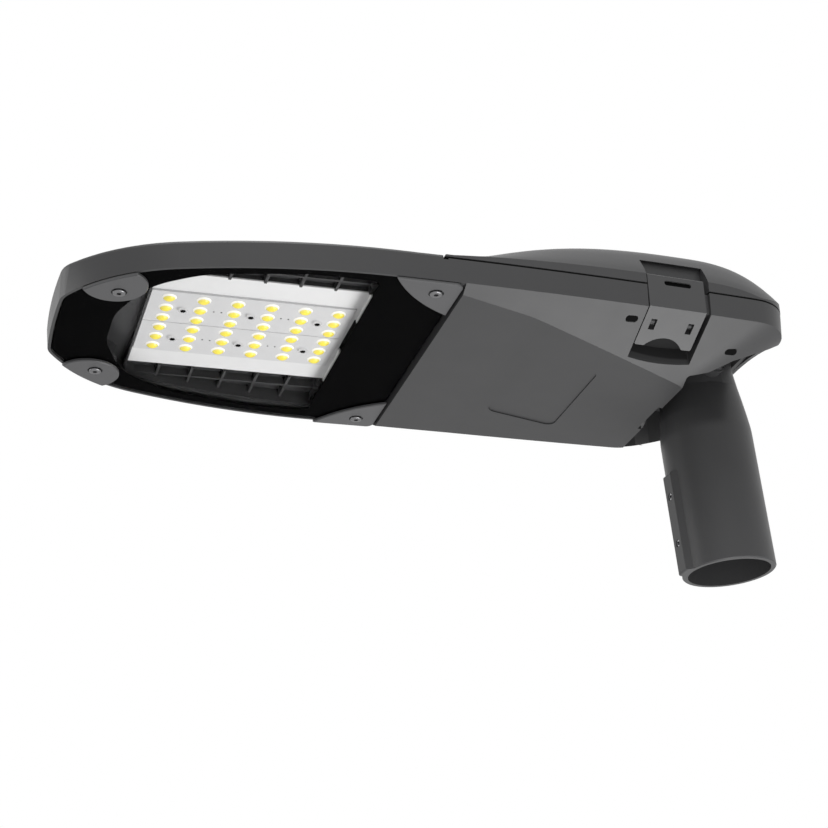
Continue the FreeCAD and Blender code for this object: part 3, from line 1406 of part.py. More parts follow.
def tilt_bolt():
    """Bolt of the tilt joint, head on the left side."""
    outer = EAR_Y0 + EAR_T + WASHER_T
    head = hexagon(0, 0, 0, TILT_HEAD_R, TILT_HEAD_H)
    head.rotate(Vector(0, 0, 0), Vector(1, 0, 0), 90)
    head.translate(Vector(PIVOT_X, -outer, PIVOT_Z))
    shank = rod(PIVOT_X, -outer - 1, PIVOT_Z, TILT_BOLT_R, 2 * outer + TILT_NUT_H + 3, Vector(0, 1, 0))
    return head.fuse(shank)


def tilt_nut():
    """Nut of the tilt joint, on the right side."""
    outer = EAR_Y0 + EAR_T + WASHER_T
    nut = hexagon(0, 0, 0, TILT_HEAD_R, TILT_NUT_H)
    nut.rotate(Vector(0, 0, 0), Vector(1, 0, 0), -90)
    nut.translate(Vector(PIVOT_X, outer, PIVOT_Z))
    return nut.cut(knuckle_cylinder(TILT_BOLT_R, FAR / 4))


def tilt_washers():
    """Washers under the head and the nut of the tilt bolt."""
    rings = []
    for y in (-EAR_Y0 - EAR_T - WASHER_T, EAR_Y0 + EAR_T):
        ring = rod(PIVOT_X, y, PIVOT_Z, WASHER_R, WASHER_T, Vector(0, 1, 0))
        rings.append(ring.cut(knuckle_cylinder(TILT_BOLT_R, FAR / 4)))
    return solids_of(rings)


def lid_hinge_pins():
    """Pins of the lid's hinge, fixed in the ears of the trough."""
    return solids_of(hinge_bores(HINGE_PIN_R))


def lid_gasket():
    """Soft seal in the groove round the gear compartment."""
    return seal_ring(SEAM_Z - SEAL_GROOVE, SEAL_TOP_Z)


def all_parts():
    """Every sub-part by its node name, in the drawing frame."""
    front, rear = glass_clamp(True), glass_clamp(False)
    board = led_board()
    right_latch = latch()
    return {
        "housing": housing(),
        "glass": glass(),
        "glass_border": glass_border(),
        "glass_gasket": glass_gasket(),
        "glass_clamp_front_near": mirrored(front),
        "glass_clamp_front_far": front,
        "glass_clamp_rear_near": mirrored(rear),
        "glass_clamp_rear_far": rear,
        "glass_clamp_screws": clamp_screws(),
        "reflector_plate": reflector_plate(),
        "led_board_near": mirrored(board),
        "led_board_far": board,
        "led_packages": led_packages(),
        "led_lenses": led_lenses(),
        "board_screws": board_screws(),
        "lid": lid(),
        "lid_hinge_pins": lid_hinge_pins(),
        "lid_gasket": lid_gasket(),
        "latch_near": mirrored(right_latch),
        "latch_far": right_latch,
        "latch_pins": latch_pins(),
        "gear_tray": gear_tray(),
        "driver": driver(),
        "surge_protector": surge_protector(),
        "terminal_block": terminal_block(),
        "gear_screws": gear_screws(),
        "earth_terminal": earth_terminal(),
        "cable_gland": cable_gland(),
        "cable_gland_nut": gland_nut(),
        "led_cable_grommet": led_cable_grommet(),
        "spigot": spigot(),
        "pole_set_screws": pole_set_screws(),
        "tilt_bolt": tilt_bolt(),
        "tilt_nut": tilt_nut(),
        "tilt_washers": tilt_washers(),
    }


def mouth_centre():
    """Middle of the pole socket's mouth in the drawing frame."""
    angle = math.radians(SPIGOT_LEAN)
    return Vector(PIVOT_X + SPIGOT_L * math.sin(angle), 0, PIVOT_Z - SPIGOT_L * math.cos(angle))


def export_all():
    """Write one file for every sub-part, with the origin at the pole socket's mouth."""
    os.makedirs("parts", exist_ok=True)
    for name, shape in all_parts().items():
        moved = shape.copy()
        moved.translate(mouth_centre() * -1)
        moved.exportStep("parts/" + name + ".step")


export_all()
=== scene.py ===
import json
import math

import bpy
from mathutils import Matrix, Vector


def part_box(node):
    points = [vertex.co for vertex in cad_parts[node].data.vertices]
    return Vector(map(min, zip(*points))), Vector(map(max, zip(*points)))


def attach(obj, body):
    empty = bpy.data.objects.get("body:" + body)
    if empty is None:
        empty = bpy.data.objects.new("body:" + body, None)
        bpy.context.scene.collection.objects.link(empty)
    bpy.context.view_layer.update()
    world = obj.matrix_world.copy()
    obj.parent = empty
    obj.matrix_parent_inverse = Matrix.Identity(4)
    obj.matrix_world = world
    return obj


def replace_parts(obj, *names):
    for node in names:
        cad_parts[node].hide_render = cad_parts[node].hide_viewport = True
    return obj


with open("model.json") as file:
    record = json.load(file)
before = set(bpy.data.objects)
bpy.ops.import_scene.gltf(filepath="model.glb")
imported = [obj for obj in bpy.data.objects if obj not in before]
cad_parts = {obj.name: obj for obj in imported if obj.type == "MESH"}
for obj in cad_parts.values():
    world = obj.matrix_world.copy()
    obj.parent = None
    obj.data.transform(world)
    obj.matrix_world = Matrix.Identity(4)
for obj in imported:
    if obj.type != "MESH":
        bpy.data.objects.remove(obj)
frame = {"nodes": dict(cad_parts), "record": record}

# One millimetre in metres
MM = 0.001

# Camera, solved from the photograph, in metres from the middle of the pole socket's mouth
CAMERA_AT = Vector((-0.6026, -1.1449, -0.4324))
CAMERA_FORWARD = Vector((0.27488, 0.86973, 0.40990))
CAMERA_DOWN = Vector((0.08411, 0.40294, -0.91135))
CAMERA_REACH = 50.0
FOCAL_PX = 1800.0
IMAGE_PX = 828.0
SENSOR_MM = 36.0

# Colours as linear values
BODY_GREY = (0.0365, 0.0365, 0.0375)
CLAMP_GREY = (0.068, 0.068, 0.070)
LATCH_GREY = (0.044, 0.044, 0.045)
PRINT_BLACK = (0.003, 0.003, 0.0031)
# Black for the board's test points, and for painted shade in the drain ends, latch slots and screw recesses
DOT_AND_SHADE_BLACK = (0.006, 0.006, 0.006)
RUBBER_GREY = (0.035, 0.035, 0.036)
STEEL = (0.62, 0.62, 0.63)
DARK_STEEL = (0.22, 0.22, 0.225)
CHROME = (0.93, 0.93, 0.93)
ZINC = (0.50, 0.51, 0.52)
BRASS = (0.72, 0.52, 0.22)
PLATE_WHITE = (0.68, 0.68, 0.68)
BOARD_WHITE = (0.56, 0.56, 0.565)
PACKAGE_PALE = (0.70, 0.70, 0.68)
COLLAR_PALE = (0.86, 0.85, 0.78)
PHOSPHOR = (0.91, 0.76, 0.08)
PHOSPHOR_EDGE = (0.92, 0.79, 0.20)
CASE_GREY = (0.60, 0.60, 0.60)
PLASTIC_GREY = (0.40, 0.40, 0.41)
PLASTIC_PALE = (0.66, 0.65, 0.60)
PLASTIC_BLACK = (0.015, 0.015, 0.015)
FLOOR_GREY = (0.90, 0.90, 0.90)
WHITE = (1.0, 1.0, 1.0)

# Powder coat: gloss, roughness, and its texture in cycles a metre and millimetres
COAT_SPECULAR = 0.30
COAT_ROUGH = 0.42
SMOOTH_COAT_ROUGH = 0.38
COAT_CLOUD_SCALE = 35.0
COAT_ROUGH_SCALE = 60.0
COAT_ROUGH_SPREAD = 0.06
COAT_PEEL_SCALE = 260.0
COAT_GRAIN_SCALE = 1400.0
COAT_GRAIN_SHARE = 0.7
COAT_GRAIN_H = 0.06

# Glass: what it lets through, how much of a mirror it is, and the share that it mirrors face on
GLASS_TINT = (0.975, 0.975, 0.975)
GLASS_SHEEN = 0.012
FACE_ON_MIRROR = 0.04
EDGE_ON_POWER = 5.0

# Even materials: shade and roughness spread, and texture in cycles a metre
PLAIN_SPREAD = 0.04
PLAIN_SCALE = 80.0
PLAIN_ROUGH_SPREAD = 0.08
PLAIN_GRAIN_SCALE = 1800.0
TURNED_SCALE = 700.0
SPANGLE_SCALE = 140.0

# LED domes get paler from this share of their height to the foot; their collars have a little painted glow
DOME_RIM_FROM = 0.6
DOME_RIM_SOFT = 0.35
DOME_SOFTNESS = 0.15
SILICONE_SCALE = 300.0
SILICONE_ROUGH_SPREAD = 0.06
COLLAR_PAINTED_GLOW = 0.22

# LED array and small parts on its boards, millimetres
LED_COLUMNS = 6
LED_ROWS = 6
LED_LENS_R = 4.2
COLLAR_FOOT_R = 5.2
COLLAR_TOP_R = 4.25
COLLAR_H = 1.1
COLLAR_SIDES = 32
BOARD_DEPTH = 0.9
DOT_R = 0.62
DOT_H = 0.3
DOT_SIDES = 12
DOT_GAP = 5.5
DOT_COLUMNS = 2
DOT_ROWS = 2
DOT_PITCH_X = 48.7
DOT_PITCH_Y = 45.0
DOT_SHIFT_X = 0.4
SCREW_COLUMNS = 3
SCREW_ROWS = 2
SCREW_HEAD_H = 2.0
RECESS_R = 2.1
RECESS_SIDES = 6

# The print behind the thick glass looks this much nearer than it is, millimetres
PRINT_NEARER = 3.4

# The window's rear edge in the print, which starts to turn at the first X, lies further back by this much
WINDOW_REAR = (-302.9, -296.4)
WINDOW_REAR_MARGIN = 0.13
WINDOW_REAR_MORE = 2.0

# Dark plates of painted shade at the ends of the drain holes, millimetres: size, places on the +Y side, and
# rise for each mm of Y
DRAIN_L = 9.3
DRAIN_W = 4.8
DRAIN_ENDS = ((-109.9, 107.0, 146.6), (-24.2, 87.0, 138.3))
DRAIN_SLOPE = 0.56
SLOT_END_SIDES = 16

# The slot in each latch, along the latch's outer face, and that face's place and turn in plan
SLOT_MIDDLE = 1.5
SLOT_Z = 172.5
SLOT_L = 21.3
SLOT_W = 3.6
SLOT_DEPTH = 1.3
LATCH_AT = (-77.33, 116.46)
LATCH_TURN = 0.0585

# The latch's cut edges below this height get painted shade; a face is upright up to this squared lean
CUT_EDGE_Z = 149.5
CUT_EDGE_SHADE = 0.3
UPRIGHT_LEAN = 0.12
UPRIGHT_SOFT = 0.05

# Painted shade deep in the finger pockets, where the coat is also rougher: X range, least Y, top, and
# ceiling at Y 0 with its rise
POCKET_X = (-106.0, -54.0)
POCKET_FROM_Y = 72.0
POCKET_TOP_Z = 151.5
POCKET_Z = 92.2
POCKET_SLOPE = 0.56
POCKET_SOFT = 1.0
POCKET_SHADE = 0.3
DULL_ROUGH = 0.5
EDGE_SOFT = 0.3

# Steel parts with a shade of their own
OWN_LOOKS = {
    "board_screws": "polished_steel",
    "glass_clamp_screws": "dark_steel",
    "latch_pins": "dark_steel",
    "tilt_bolt": "dark_steel",
    "tilt_nut": "dark_steel",
    "tilt_washers": "dark_steel",
}

# Stage, in metres
FLOOR_DROP = 1.15
FLOOR_SIZE = 14.0
WORLD_LIGHT = 0.62

# Lamps: name, place, aim, size in metres and power in watts
LAMPS = (
    ("key", (-0.5, -1.3, 2.3), (0.05, 0.0, 0.1), (1.6, 1.2), 60.0),
    ("under", (0.36, 0.0, -0.87), (0.02, -0.1, 0.14), (0.5, 0.5), 6.3),
    ("mouth", (-0.10, -0.30, -0.45), (0.0, 0.02, 0.0), (0.15, 0.15), 1.6),
    ("left", (-1.25, 0.30, 0.25), (-0.45, 0.0, 0.14), (0.5, 0.5), 2.4),
)

# Inputs of every grid of small parts
GRID_INPUTS = (
    ("Pitch X", "NodeSocketFloat"),
    ("Pitch Y", "NodeSocketFloat"),
    ("Columns", "NodeSocketInt"),
    ("Rows", "NodeSocketInt"),
    ("Centre", "NodeSocketVector"),
)


class Value:
    """A node's number, which can be used in sums."""

    def __init__(self, tree, socket):
        self.tree = tree
        self.socket = socket

    def _math(self, operation, a, b):
        node = self.tree.nodes.new("ShaderNodeMath")
        node.operation = operation
        feed(self.tree, node.inputs[0], a)
        feed(self.tree, node.inputs[1], b)
        return Value(self.tree, node.outputs[0])

    def __add__(self, other):
        return self._math("ADD", self, other)

    __radd__ = __add__

    def __sub__(self, other):
        return self._math("SUBTRACT", self, other)

    def __rsub__(self, other):
        return self._math("SUBTRACT", other, self)

    def __mul__(self, other):
        return self._math("MULTIPLY", self, other)

    __rmul__ = __mul__

    def power(self, other):
        """This number to a power."""
        return self._math("POWER", self, other)

    def above(self, edge, soft):
        """0 below the edge and 1 above it, over a soft step."""
        node = self.tree.nodes.new("ShaderNodeMapRange")
        node.interpolation_type = "SMOOTHSTEP"
        feed(self.tree, node.inputs["Value"], self)
        node.inputs["From Min"].default_value = edge - soft
        node.inputs["From Max"].default_value = edge + soft
        return Value(self.tree, node.outputs["Result"])


def feed(tree, socket, value):
    """Join a value to a socket, or set the socket when the value is plain."""
    if isinstance(value, Value):
        tree.links.new(value.socket, socket)
    elif socket.type == "RGBA":
        socket.default_value = (*value, 1.0)
    else:
        socket.default_value = value


class Nodes:
    """A node tree under construction."""

    def __init__(self, tree):
        self.tree = tree
        self.tree.nodes.clear()

    def node(self, kind, settings=None, **sockets):
        """Any node, with its settings and its inputs by name."""
        node = self.tree.nodes.new(kind)
        for key, value in (settings or {}).items():
            setattr(node, key, value)
        for key, value in sockets.items():
            feed(self.tree, node.inputs[key.replace("_", " ")], value)
        return node

    def out(self, node, name=0):
        """An output of a node as a value."""
        return Value(self.tree, node.outputs[name])

    def blend(self, factor, first, second):
        """Two shaders, from the first at 0 to the second at 1."""
        node = self.node("ShaderNodeMixShader")
        feed(self.tree, node.inputs[0], factor)
        self.tree.links.new(first.outputs[0], node.inputs[1])
        self.tree.links.new(second.outputs[0], node.inputs[2])
        return node


class Shader(Nodes):
    """One material under construction."""

    def __init__(self, name):
        self.material = bpy.data.materials.new(name)
        self.material.use_nodes = True
        super().__init__(self.material.node_tree)

    def place(self):
        """Where a point lies on the object."""
        return self.out(self.node("ShaderNodeTexCoord"), "Object")

    def axes(self, vector):
        """X, Y and Z of a vector."""
        node = self.node("ShaderNodeSeparateXYZ", Vector=vector)
        return tuple(self.out(node, axis) for axis in "XYZ")

    def noise(self, scale, detail=3.0):
        """Noise over the object, from 0 to 1, with scale in cycles a metre."""
        return self.out(self.node("ShaderNodeTexNoise", Vector=self.place(), Scale=scale, Detail=detail))

    def uneven(self, scale, middle, spread, detail=3.0):
        """A number that wanders round its middle."""
        return self.noise(scale, detail) * spread + (middle - spread / 2)

    def mix(self, factor, a, b):
        """Blend of two colours."""
        node = self.node("ShaderNodeMix", {"data_type": "RGBA"})
        feed(self.tree, node.inputs[0], factor)
        feed(self.tree, node.inputs[6], a)
        feed(self.tree, node.inputs[7], b)
        return self.out(node, 2)

    def shades(self, factor, colour, spread):
        """A colour from a little darker at 0 to a little lighter at 1."""
        low = tuple(c * (1 - spread) for c in colour)
        high = tuple(c * (1 + spread) for c in colour)
        return self.mix(factor, low, high)

    def bump(self, height, depth, strength):
        """Bumped normal from a height between 0 and 1, with its full depth in millimetres."""
        node = self.node("ShaderNodeBump", Height=height, Distance=depth * MM, Strength=strength)
        return self.out(node, "Normal")

    def surface(self, **sockets):
        """Any solid surface."""
        return self.node("ShaderNodeBsdfPrincipled", **sockets)

    def finish(self, shader):
        """Join the last shader to the material's output."""
        output = self.node("ShaderNodeOutputMaterial")
        self.tree.links.new(shader.outputs[0], output.inputs["Surface"])
        return self.material


def latch_edge_shade_mask(s):
    """1 on the upright cut edges of a latch's lower half, where shade is painted, 0 elsewhere."""
    normal = s.out(s.node("ShaderNodeNewGeometry"), "True Normal")
    turned = s.node("ShaderNodeVectorTransform", {"vector_type": "NORMAL"}, Vector=normal)
    steep = s.axes(s.out(turned))[2]
    height = s.axes(s.place())[2]
    upright = 1 - (steep * steep).above(UPRIGHT_LEAN, UPRIGHT_SOFT)
    return upright * (1 - height.above(CUT_EDGE_Z * MM, EDGE_SOFT * MM))


def pocket_shade_mask(s):
    """1 deep in the pockets behind the latches, where shade is painted, 0 elsewhere."""
    x, y, z = s.axes(s.place())
    side = (y * y).power(0.5)
    start, end = (v * MM for v in POCKET_X)
    along = x.above(start, EDGE_SOFT * MM) * (1 - x.above(end, EDGE_SOFT * MM))
    deep = (z - side * POCKET_SLOPE).above(POCKET_Z * MM, POCKET_SOFT * MM)
    low = 1 - z.above(POCKET_TOP_Z * MM, EDGE_SOFT * MM)
    return along * deep * low * side.above(POCKET_FROM_Y * MM, EDGE_SOFT * MM)


def powder_coat(name, colour, roughness=COAT_ROUGH, shade_mask=None, shade=1.0):
    """Fine satin powder coat on a casting, with painted shade and more roughness where a mask function
    gives 1.
    """
    s = Shader(name)
    base = s.shades(s.noise(COAT_CLOUD_SCALE), colour, spread=0.05)
    rough = s.uneven(COAT_ROUGH_SCALE, roughness, COAT_ROUGH_SPREAD)
    grain = s.noise(COAT_GRAIN_SCALE, detail=2.0) * COAT_GRAIN_SHARE
    skin = grain + s.noise(COAT_PEEL_SCALE, detail=2.0) * (1 - COAT_GRAIN_SHARE)
    if shade_mask:
        # Painted shade: the colour darkens by the shade factor where the mask is 1, and the coat gets
        # rougher there
        shaded = shade_mask(s)
        base = s.mix(shaded, base, tuple(c * shade for c in colour))
        rough = rough + shaded * DULL_ROUGH
    normal = s.bump(skin, COAT_GRAIN_H, strength=0.5)
    body = s.surface(Base_Color=base, Roughness=rough, Normal=normal, Specular_IOR_Level=COAT_SPECULAR)
    return s.finish(body)


def clear_glass(name):
    """Flat clear glass with a reflection-cutting coat: what is behind shows through."""
    s = Shader(name)
    turned = s.out(s.node("ShaderNodeLayerWeight", Blend=0.5), "Facing")
    mirror = turned.power(EDGE_ON_POWER) * (1 - FACE_ON_MIRROR) + FACE_ON_MIRROR
    smear = s.uneven(scale=9.0, middle=0.025, spread=0.01, detail=2.0)
    gloss = s.node("ShaderNodeBsdfGlossy", Roughness=smear)
    clear = s.node("ShaderNodeBsdfTransparent", Color=GLASS_TINT)
    return s.finish(s.blend(mirror * GLASS_SHEEN, clear, gloss))


def matte(name, colour, spread=0.2, scale=40.0):
    """Surface without any gloss."""
    s = Shader(name)
    base = s.shades(s.noise(scale), colour, spread)
    return s.finish(s.surface(Base_Color=base, Roughness=1.0, Specular_IOR_Level=0.0))


def plain(name, colour, roughness, metallic=0.0, grain=0.0):
    """Even material with faint changes in shade and a fine grain, in millimetres."""
    s = Shader(name)
    sockets = {
        "Base_Color": s.shades(s.noise(PLAIN_SCALE), colour, PLAIN_SPREAD),
        "Roughness": s.uneven(PLAIN_SCALE * 2, roughness, PLAIN_ROUGH_SPREAD),
        "Metallic": metallic,
    }
    if grain:
        sockets["Normal"] = s.bump(s.noise(PLAIN_GRAIN_SCALE, detail=2.0), grain, strength=0.6)
    return s.finish(s.surface(**sockets))


def steel(name, colour, roughness):
    """Turned steel screws and pins."""
    s = Shader(name)
    base = s.shades(s.noise(TURNED_SCALE, detail=2.0), colour, spread=0.08)
    rough = s.uneven(TURNED_SCALE, roughness, PLAIN_ROUGH_SPREAD, detail=2.0)
    return s.finish(s.surface(Base_Color=base, Roughness=rough, Metallic=1.0))


def galvanised(name):
    """Zinc-coated sheet with faint spangle."""
    s = Shader(name)
    cells = s.node("ShaderNodeTexVoronoi", Vector=s.place(), Scale=SPANGLE_SCALE)
    base = s.shades(s.out(cells, "Distance"), ZINC, spread=0.1)
    rough = s.uneven(scale=200.0, middle=0.45, spread=0.1)
    return s.finish(s.surface(Base_Color=base, Roughness=rough, Metallic=0.8))


def phosphor(name):
    """Yellow silicone domes, paler towards their rims."""
    s = Shader(name)
    top, foot = (v[2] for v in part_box("led_lenses"))
    height = s.axes(s.place())[2]
    rim = height.above(top + (foot - top) * DOME_RIM_FROM, (foot - top) * DOME_RIM_SOFT)
    base = s.mix(rim, s.shades(s.noise(900.0, detail=2.0), PHOSPHOR, spread=0.06), PHOSPHOR_EDGE)
    rough = s.uneven(SILICONE_SCALE, middle=0.25, spread=SILICONE_ROUGH_SPREAD)
    body = s.surface(Base_Color=base, Roughness=rough, Subsurface_Weight=DOME_SOFTNESS, Subsurface_Scale=MM)
    return s.finish(body)


def led_collar(name):
    """Pale silicone collar with a little painted glow in its own colour."""
    s = Shader(name)
    shade = s.shades(s.noise(500.0, detail=2.0), COLLAR_PALE, spread=0.03)
    rough = s.uneven(SILICONE_SCALE, middle=0.33, spread=SILICONE_ROUGH_SPREAD)
    body = s.surface(Base_Color=shade, Roughness=rough, Emission_Color=shade, Emission_Strength=COLLAR_PAINTED_GLOW)
    return s.finish(body)


def make_materials():
    """One material for every slot of the record, and a few for single parts and pieces."""
    # Painted shade on the latches' lower cut edges
    latch_shading = {"shade_mask": latch_edge_shade_mask, "shade": CUT_EDGE_SHADE}
    return {
        # Painted shade deep in the finger pockets
        "body_paint": powder_coat("body_paint", BODY_GREY, shade_mask=pocket_shade_mask, shade=POCKET_SHADE),
        "clamp_paint": powder_coat("clamp_paint", CLAMP_GREY, SMOOTH_COAT_ROUGH),
        "latch_paint": powder_coat("latch_paint", LATCH_GREY, SMOOTH_COAT_ROUGH, **latch_shading),
        "clear_glass": clear_glass("clear_glass"),
        "black_print": matte("black_print", PRINT_BLACK),
        # Board test points are truly dark; in the drain ends, latch slots and screw recesses this black is
        # painted shade
        "dark_hole": matte("dark_hole", DOT_AND_SHADE_BLACK),
        "grey_rubber": plain("grey_rubber", RUBBER_GREY, 0.8, grain=0.04),
        "bright_steel": steel("bright_steel", STEEL, 0.24),
        "polished_steel": steel("polished_steel", CHROME, 0.09),
        "dark_steel": steel("dark_steel", DARK_STEEL, 0.30),
        "led_collar": led_collar("led_collar"),
        "led_phosphor": phosphor("led_phosphor"),
        "led_ceramic": plain("led_ceramic", PACKAGE_PALE, 0.4),
        "white_paint": plain("white_paint", PLATE_WHITE, 0.45, grain=0.02),
        "board_white": plain("board_white", BOARD_WHITE, 0.38),
        "galvanised": galvanised("galvanised"),
        "driver_case": plain("driver_case", CASE_GREY, 0.4, grain=0.03),
        "gear_plastic": plain("gear_plastic", PLASTIC_GREY, 0.5, grain=0.03),
        "terminal_plastic": plain("terminal_plastic", PLASTIC_PALE, 0.5),
        "black_plastic": plain("black_plastic", PLASTIC_BLACK, 0.45, grain=0.03),
        "brass_tab": plain("brass_tab", BRASS, 0.3, metallic=1.0),
    }


def dress_nodes(materials):
    """Give every part the material of its slot, or its own shade of it."""
    for part in frame["record"]["subparts"]:
        mesh = frame["nodes"][part["node"]].data
        look = OWN_LOOKS.get(part["node"], part["material_slot"])
        mesh.materials.clear()
        mesh.materials.append(materials[look])


class Grid(Nodes):
    """A tree that sets one small shape on every point of a grid."""

    def __init__(self, name):
        super().__init__(bpy.data.node_groups.new(name, "GeometryNodeTree"))
        self.tree.interface.new_socket("Geometry", in_out="OUTPUT", socket_type="NodeSocketGeometry")
        self.inputs = {}
        for label, kind in GRID_INPUTS:
            item = self.tree.interface.new_socket(label, in_out="INPUT", socket_type=kind)
            self.inputs[label] = item.identifier
        self.source = self.node("NodeGroupInput")

    def given(self, label):
        """One of the tree's own inputs."""
        return self.out(self.source, label)

    def build(self, shape, material):
        """Join the grid, the shape and the material."""
        grid = self.node(
            "GeometryNodeMeshGrid",
            Size_X=(self.given("Columns") - 1) * self.given("Pitch X"),
            Size_Y=(self.given("Rows") - 1) * self.given("Pitch Y"),
            Vertices_X=self.given("Columns"),
            Vertices_Y=self.given("Rows"),
        )
        points = self.node("GeometryNodeMeshToPoints", Mesh=self.out(grid, "Mesh"))
        put = self.node("GeometryNodeInstanceOnPoints", Points=self.out(points, "Points"), Instance=shape)
        moved = self.node("GeometryNodeTransform", Geometry=self.out(put), Translation=self.given("Centre"))
        real = self.node("GeometryNodeRealizeInstances", Geometry=self.out(moved))
        dressed = self.node("GeometryNodeSetMaterial", Geometry=self.out(real))
        dressed.inputs["Material"].default_value = material
        sink = self.node("NodeGroupOutput")
        self.tree.links.new(dressed.outputs[0], sink.inputs[0])

    def make(self, name, body, slot, values):
        """Turn the tree into a plain mesh that rides on a body."""
        holder = bpy.data.objects.new(name + "_holder", bpy.data.meshes.new(name + "_holder"))
        bpy.context.scene.collection.objects.link(holder)
        modifier = holder.modifiers.new("grid", "NODES")
        modifier.node_group = self.tree
        for label, value in values.items():
            modifier[self.inputs[label]] = value
        shown = holder.evaluated_get(bpy.context.evaluated_depsgraph_get())
        mesh = bpy.data.meshes.new_from_object(shown)
        bpy.data.objects.remove(holder)
        return add_piece(name, mesh, body)


def add_piece(name, mesh, body):
    """A plain piece that rides on a body."""
    piece = bpy.data.objects.new(name, mesh)
    bpy.context.scene.collection.objects.link(piece)
    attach(piece, body)
    return piece


def led_grid():
    """Middle and pitches of the LED array, read from its domes."""
    low, high = (Vector(v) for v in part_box("led_lenses"))
    pitch_x = (high.x - low.x - 2 * LED_LENS_R * MM) / (LED_COLUMNS - 1)
    pitch_y = (high.y - low.y - 2 * LED_LENS_R * MM) / (LED_ROWS - 1)
    return Vector(((low.x + high.x) / 2, (low.y + high.y) / 2, high.z)), pitch_x, pitch_y


def led_collars(materials):
    """Pale collar round every LED dome, wider at its foot on the board, which faces down."""
    grid = Grid("led_collars")
    cone = grid.node(
        "GeometryNodeMeshCone",
        {"fill_type": "NONE"},
        Vertices=COLLAR_SIDES,
        Radius_Top=COLLAR_FOOT_R * MM,
        Radius_Bottom=COLLAR_TOP_R * MM,
        Depth=COLLAR_H * MM,
    )
    grid.build(grid.out(cone, "Mesh"), materials["led_collar"])
    centre, pitch_x, pitch_y = led_grid()
    board_z = centre.z + BOARD_DEPTH * MM
    values = {
        "Pitch X": pitch_x,
        "Pitch Y": pitch_y,
        "Columns": LED_COLUMNS,
        "Rows": LED_ROWS,
        "Centre": (centre.x, centre.y, board_z - COLLAR_H * MM),
    }
    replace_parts(grid.make("led_collars", "housing", "led_ceramic", values), "led_packages")


def small_cylinders(name, materials, sides, radius, columns, rows, centre):
    """Low dark cylinders at the pitch of the board's dots and screws: dark test points, and painted shade
    in the screw recesses.
    """
    grid = Grid(name)
    shape = grid.node("GeometryNodeMeshCylinder", Vertices=sides, Radius=radius * MM, Depth=DOT_H * MM)
    grid.build(grid.out(shape, "Mesh"), materials["dark_hole"])
    values = {
        "Pitch X": DOT_PITCH_X * MM,
        "Pitch Y": DOT_PITCH_Y * MM,
        "Columns": columns,
        "Rows": rows,
        "Centre": centre,
    }
    grid.make(name, "housing", "black_plastic", values)


def board_dots(materials):
    """Pairs of tiny dark test points between the LED columns."""
    centre, _, _ = led_grid()
    board_z = centre.z + BOARD_DEPTH * MM
    for side, name in ((-1, "board_dots_front"), (1, "board_dots_rear")):
        middle = (centre.x + (DOT_SHIFT_X + side * DOT_GAP / 2) * MM, centre.y, board_z)
        small_cylinders(name, materials, DOT_SIDES, DOT_R, DOT_COLUMNS, DOT_ROWS, middle)


def screw_recesses(materials):
    """Dark hexagon of painted shade in the recess of every board screw."""
    centre, _, _ = led_grid()
    middle = (centre.x, centre.y, centre.z + (BOARD_DEPTH - SCREW_HEAD_H) * MM)
    small_cylinders("screw_recesses", materials, RECESS_SIDES, RECESS_R, SCREW_COLUMNS, SCREW_ROWS, middle)


def border_print(materials):
    """The black print, drawn where it is seen through the thick glass."""
    mesh = frame["nodes"]["glass_border"].data.copy()
    mesh.transform(Matrix.Translation((0, 0, -PRINT_NEARER * MM)))
    start, end = (x * MM for x in WINDOW_REAR)
    for vertex in mesh.vertices:
        if start < vertex.co.x < end + WINDOW_REAR_MARGIN * MM:
            vertex.co.x += (vertex.co.x - start) / (end - start) * WINDOW_REAR_MORE * MM
    mesh.materials.clear()
    mesh.materials.append(materials["black_print"])
    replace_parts(add_piece("border_print", mesh, "housing"), "glass_border")


def stadium(length, width):
    """Outline of a slot with round ends, in two directions."""
    r = width / 2
    points = []
    for end, start in ((length / 2 - r, -90.0), (r - length / 2, 90.0)):
        for i in range(SLOT_END_SIDES + 1):
            angle = math.radians(start + 180.0 * i / SLOT_END_SIDES)
            points.append((end + r * math.cos(angle), r * math.sin(angle)))
    return points


def shade_plates(name, outlines, body, materials):
    """Thin dark plates of painted shade from their outlines in millimetres."""
    vertices, faces = [], []
    for outline in outlines:
        first = len(vertices)
        vertices += [(x * MM, y * MM, z * MM) for x, y, z in outline]
        faces.append(tuple(range(first, len(vertices))))
    mesh = bpy.data.meshes.new(name)
    mesh.from_pydata(vertices, [], faces)
    mesh.materials.append(materials["dark_hole"])
    add_piece(name, mesh, body)


def drain_painted_shade(materials):
    """Dark plates of painted shade at the ends of the four drain holes."""
    outlines = []
    for x, y, z in DRAIN_ENDS:
        for side in (-1, 1):
            outline = [(x + u, side * (y + v), z + DRAIN_SLOPE * v) for u, v in stadium(DRAIN_L, DRAIN_W)]
            outlines.append(outline)
    shade_plates("drain_painted_shade", outlines, "housing", materials)


def latch_slot_shade(materials):
    """Dark plate of painted shade behind the slot of each latch."""
    cos, sin = math.cos(LATCH_TURN), math.sin(LATCH_TURN)
    for side, body in ((-1, "latch_near"), (1, "latch_far")):
        outline = []
        for u, v in stadium(SLOT_L, SLOT_W):
            x = LATCH_AT[0] + (SLOT_MIDDLE + u) * cos - SLOT_DEPTH * sin
            y = LATCH_AT[1] - (SLOT_MIDDLE + u) * sin - SLOT_DEPTH * cos
            outline.append((x, side * y, SLOT_Z + v))
        shade_plates(body + "_slot", [outline], body, materials)


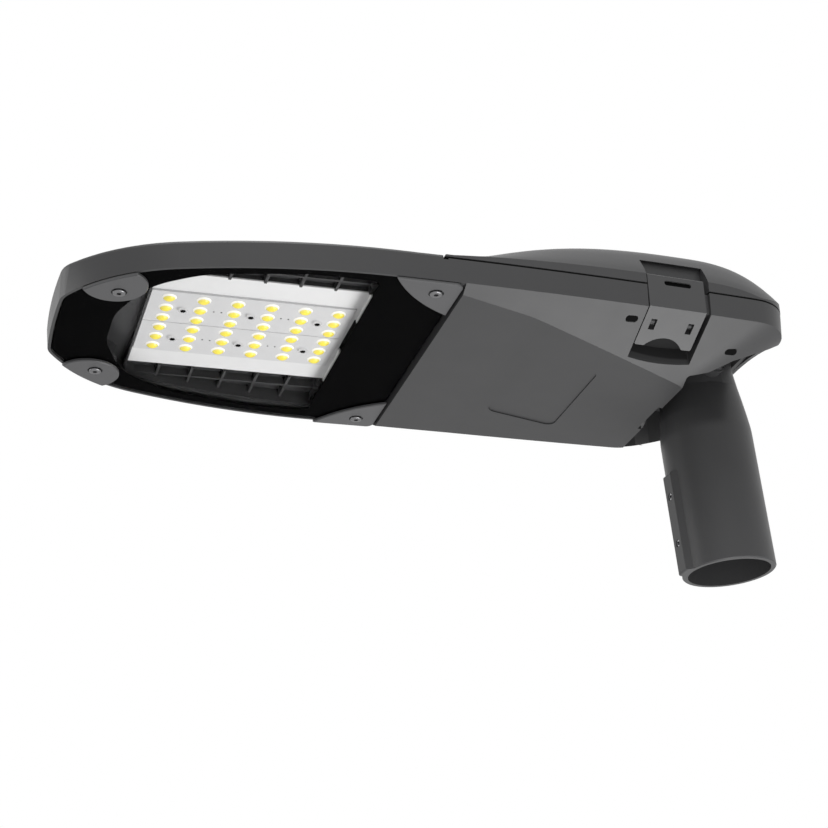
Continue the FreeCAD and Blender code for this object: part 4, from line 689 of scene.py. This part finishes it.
def add_camera():
    """Camera of the photograph."""
    data = bpy.data.cameras.new("camera")
    data.sensor_width = SENSOR_MM
    data.lens = FOCAL_PX / IMAGE_PX * SENSOR_MM
    data.clip_end = CAMERA_REACH
    camera = bpy.data.objects.new("camera", data)
    bpy.context.scene.collection.objects.link(camera)
    back = -CAMERA_FORWARD.normalized()
    up = (-CAMERA_DOWN).normalized()
    right = up.cross(back).normalized()
    up = back.cross(right)
    turn = Matrix((right, up, back)).transposed()
    camera.matrix_world = Matrix.Translation(CAMERA_AT) @ turn.to_4x4()
    bpy.context.scene.camera = camera


def add_lamp(name, at, towards, size, power):
    """Soft area lamp."""
    data = bpy.data.lights.new(name, "AREA")
    data.shape = "RECTANGLE"
    data.size, data.size_y = size
    data.energy = power
    lamp = bpy.data.objects.new(name, data)
    bpy.context.scene.collection.objects.link(lamp)
    lamp.visible_camera = False
    lamp.location = at
    aim = Vector(towards) - Vector(at)
    lamp.rotation_euler = aim.to_track_quat("-Z", "Y").to_euler()


def add_world():
    """White surroundings that light the object evenly."""
    world = bpy.data.worlds.new("world")
    world.use_nodes = True
    w = Nodes(world.node_tree)
    path = w.node("ShaderNodeLightPath")
    rays = [w.out(path, f"Is {kind} Ray") for kind in ("Camera", "Glossy", "Transmission")]
    # White where any of the three kinds of ray sees it
    seen = (rays[0] + rays[1] + rays[2]).above(0.5, 0.4)
    soft = w.node("ShaderNodeBackground", Color=WHITE, Strength=WORLD_LIGHT)
    white = w.node("ShaderNodeBackground", Color=WHITE)
    output = w.node("ShaderNodeOutputWorld")
    w.tree.links.new(w.blend(seen, soft, white).outputs[0], output.inputs["Surface"])
    bpy.context.scene.world = world


def add_floor():
    """Pale floor well below the object."""
    mesh = bpy.data.meshes.new("floor")
    half = FLOOR_SIZE / 2
    corners = [(-half, -half, 0), (half, -half, 0), (half, half, 0), (-half, half, 0)]
    mesh.from_pydata(corners, [], [(0, 1, 2, 3)])
    mesh.materials.append(matte("floor", FLOOR_GREY, 0.01, 2.0))
    floor = bpy.data.objects.new("floor", mesh)
    bpy.context.scene.collection.objects.link(floor)
    floor.location = (0, 0, -FLOOR_DROP)


def main():
    """Build the whole scene."""
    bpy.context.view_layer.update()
    bpy.context.scene.view_settings.view_transform = "Standard"
    materials = make_materials()
    dress_nodes(materials)
    led_collars(materials)
    board_dots(materials)
    screw_recesses(materials)
    border_print(materials)
    drain_painted_shade(materials)
    latch_slot_shade(materials)
    add_camera()
    add_world()
    add_floor()
    for lamp in LAMPS:
        add_lamp(*lamp)


main()
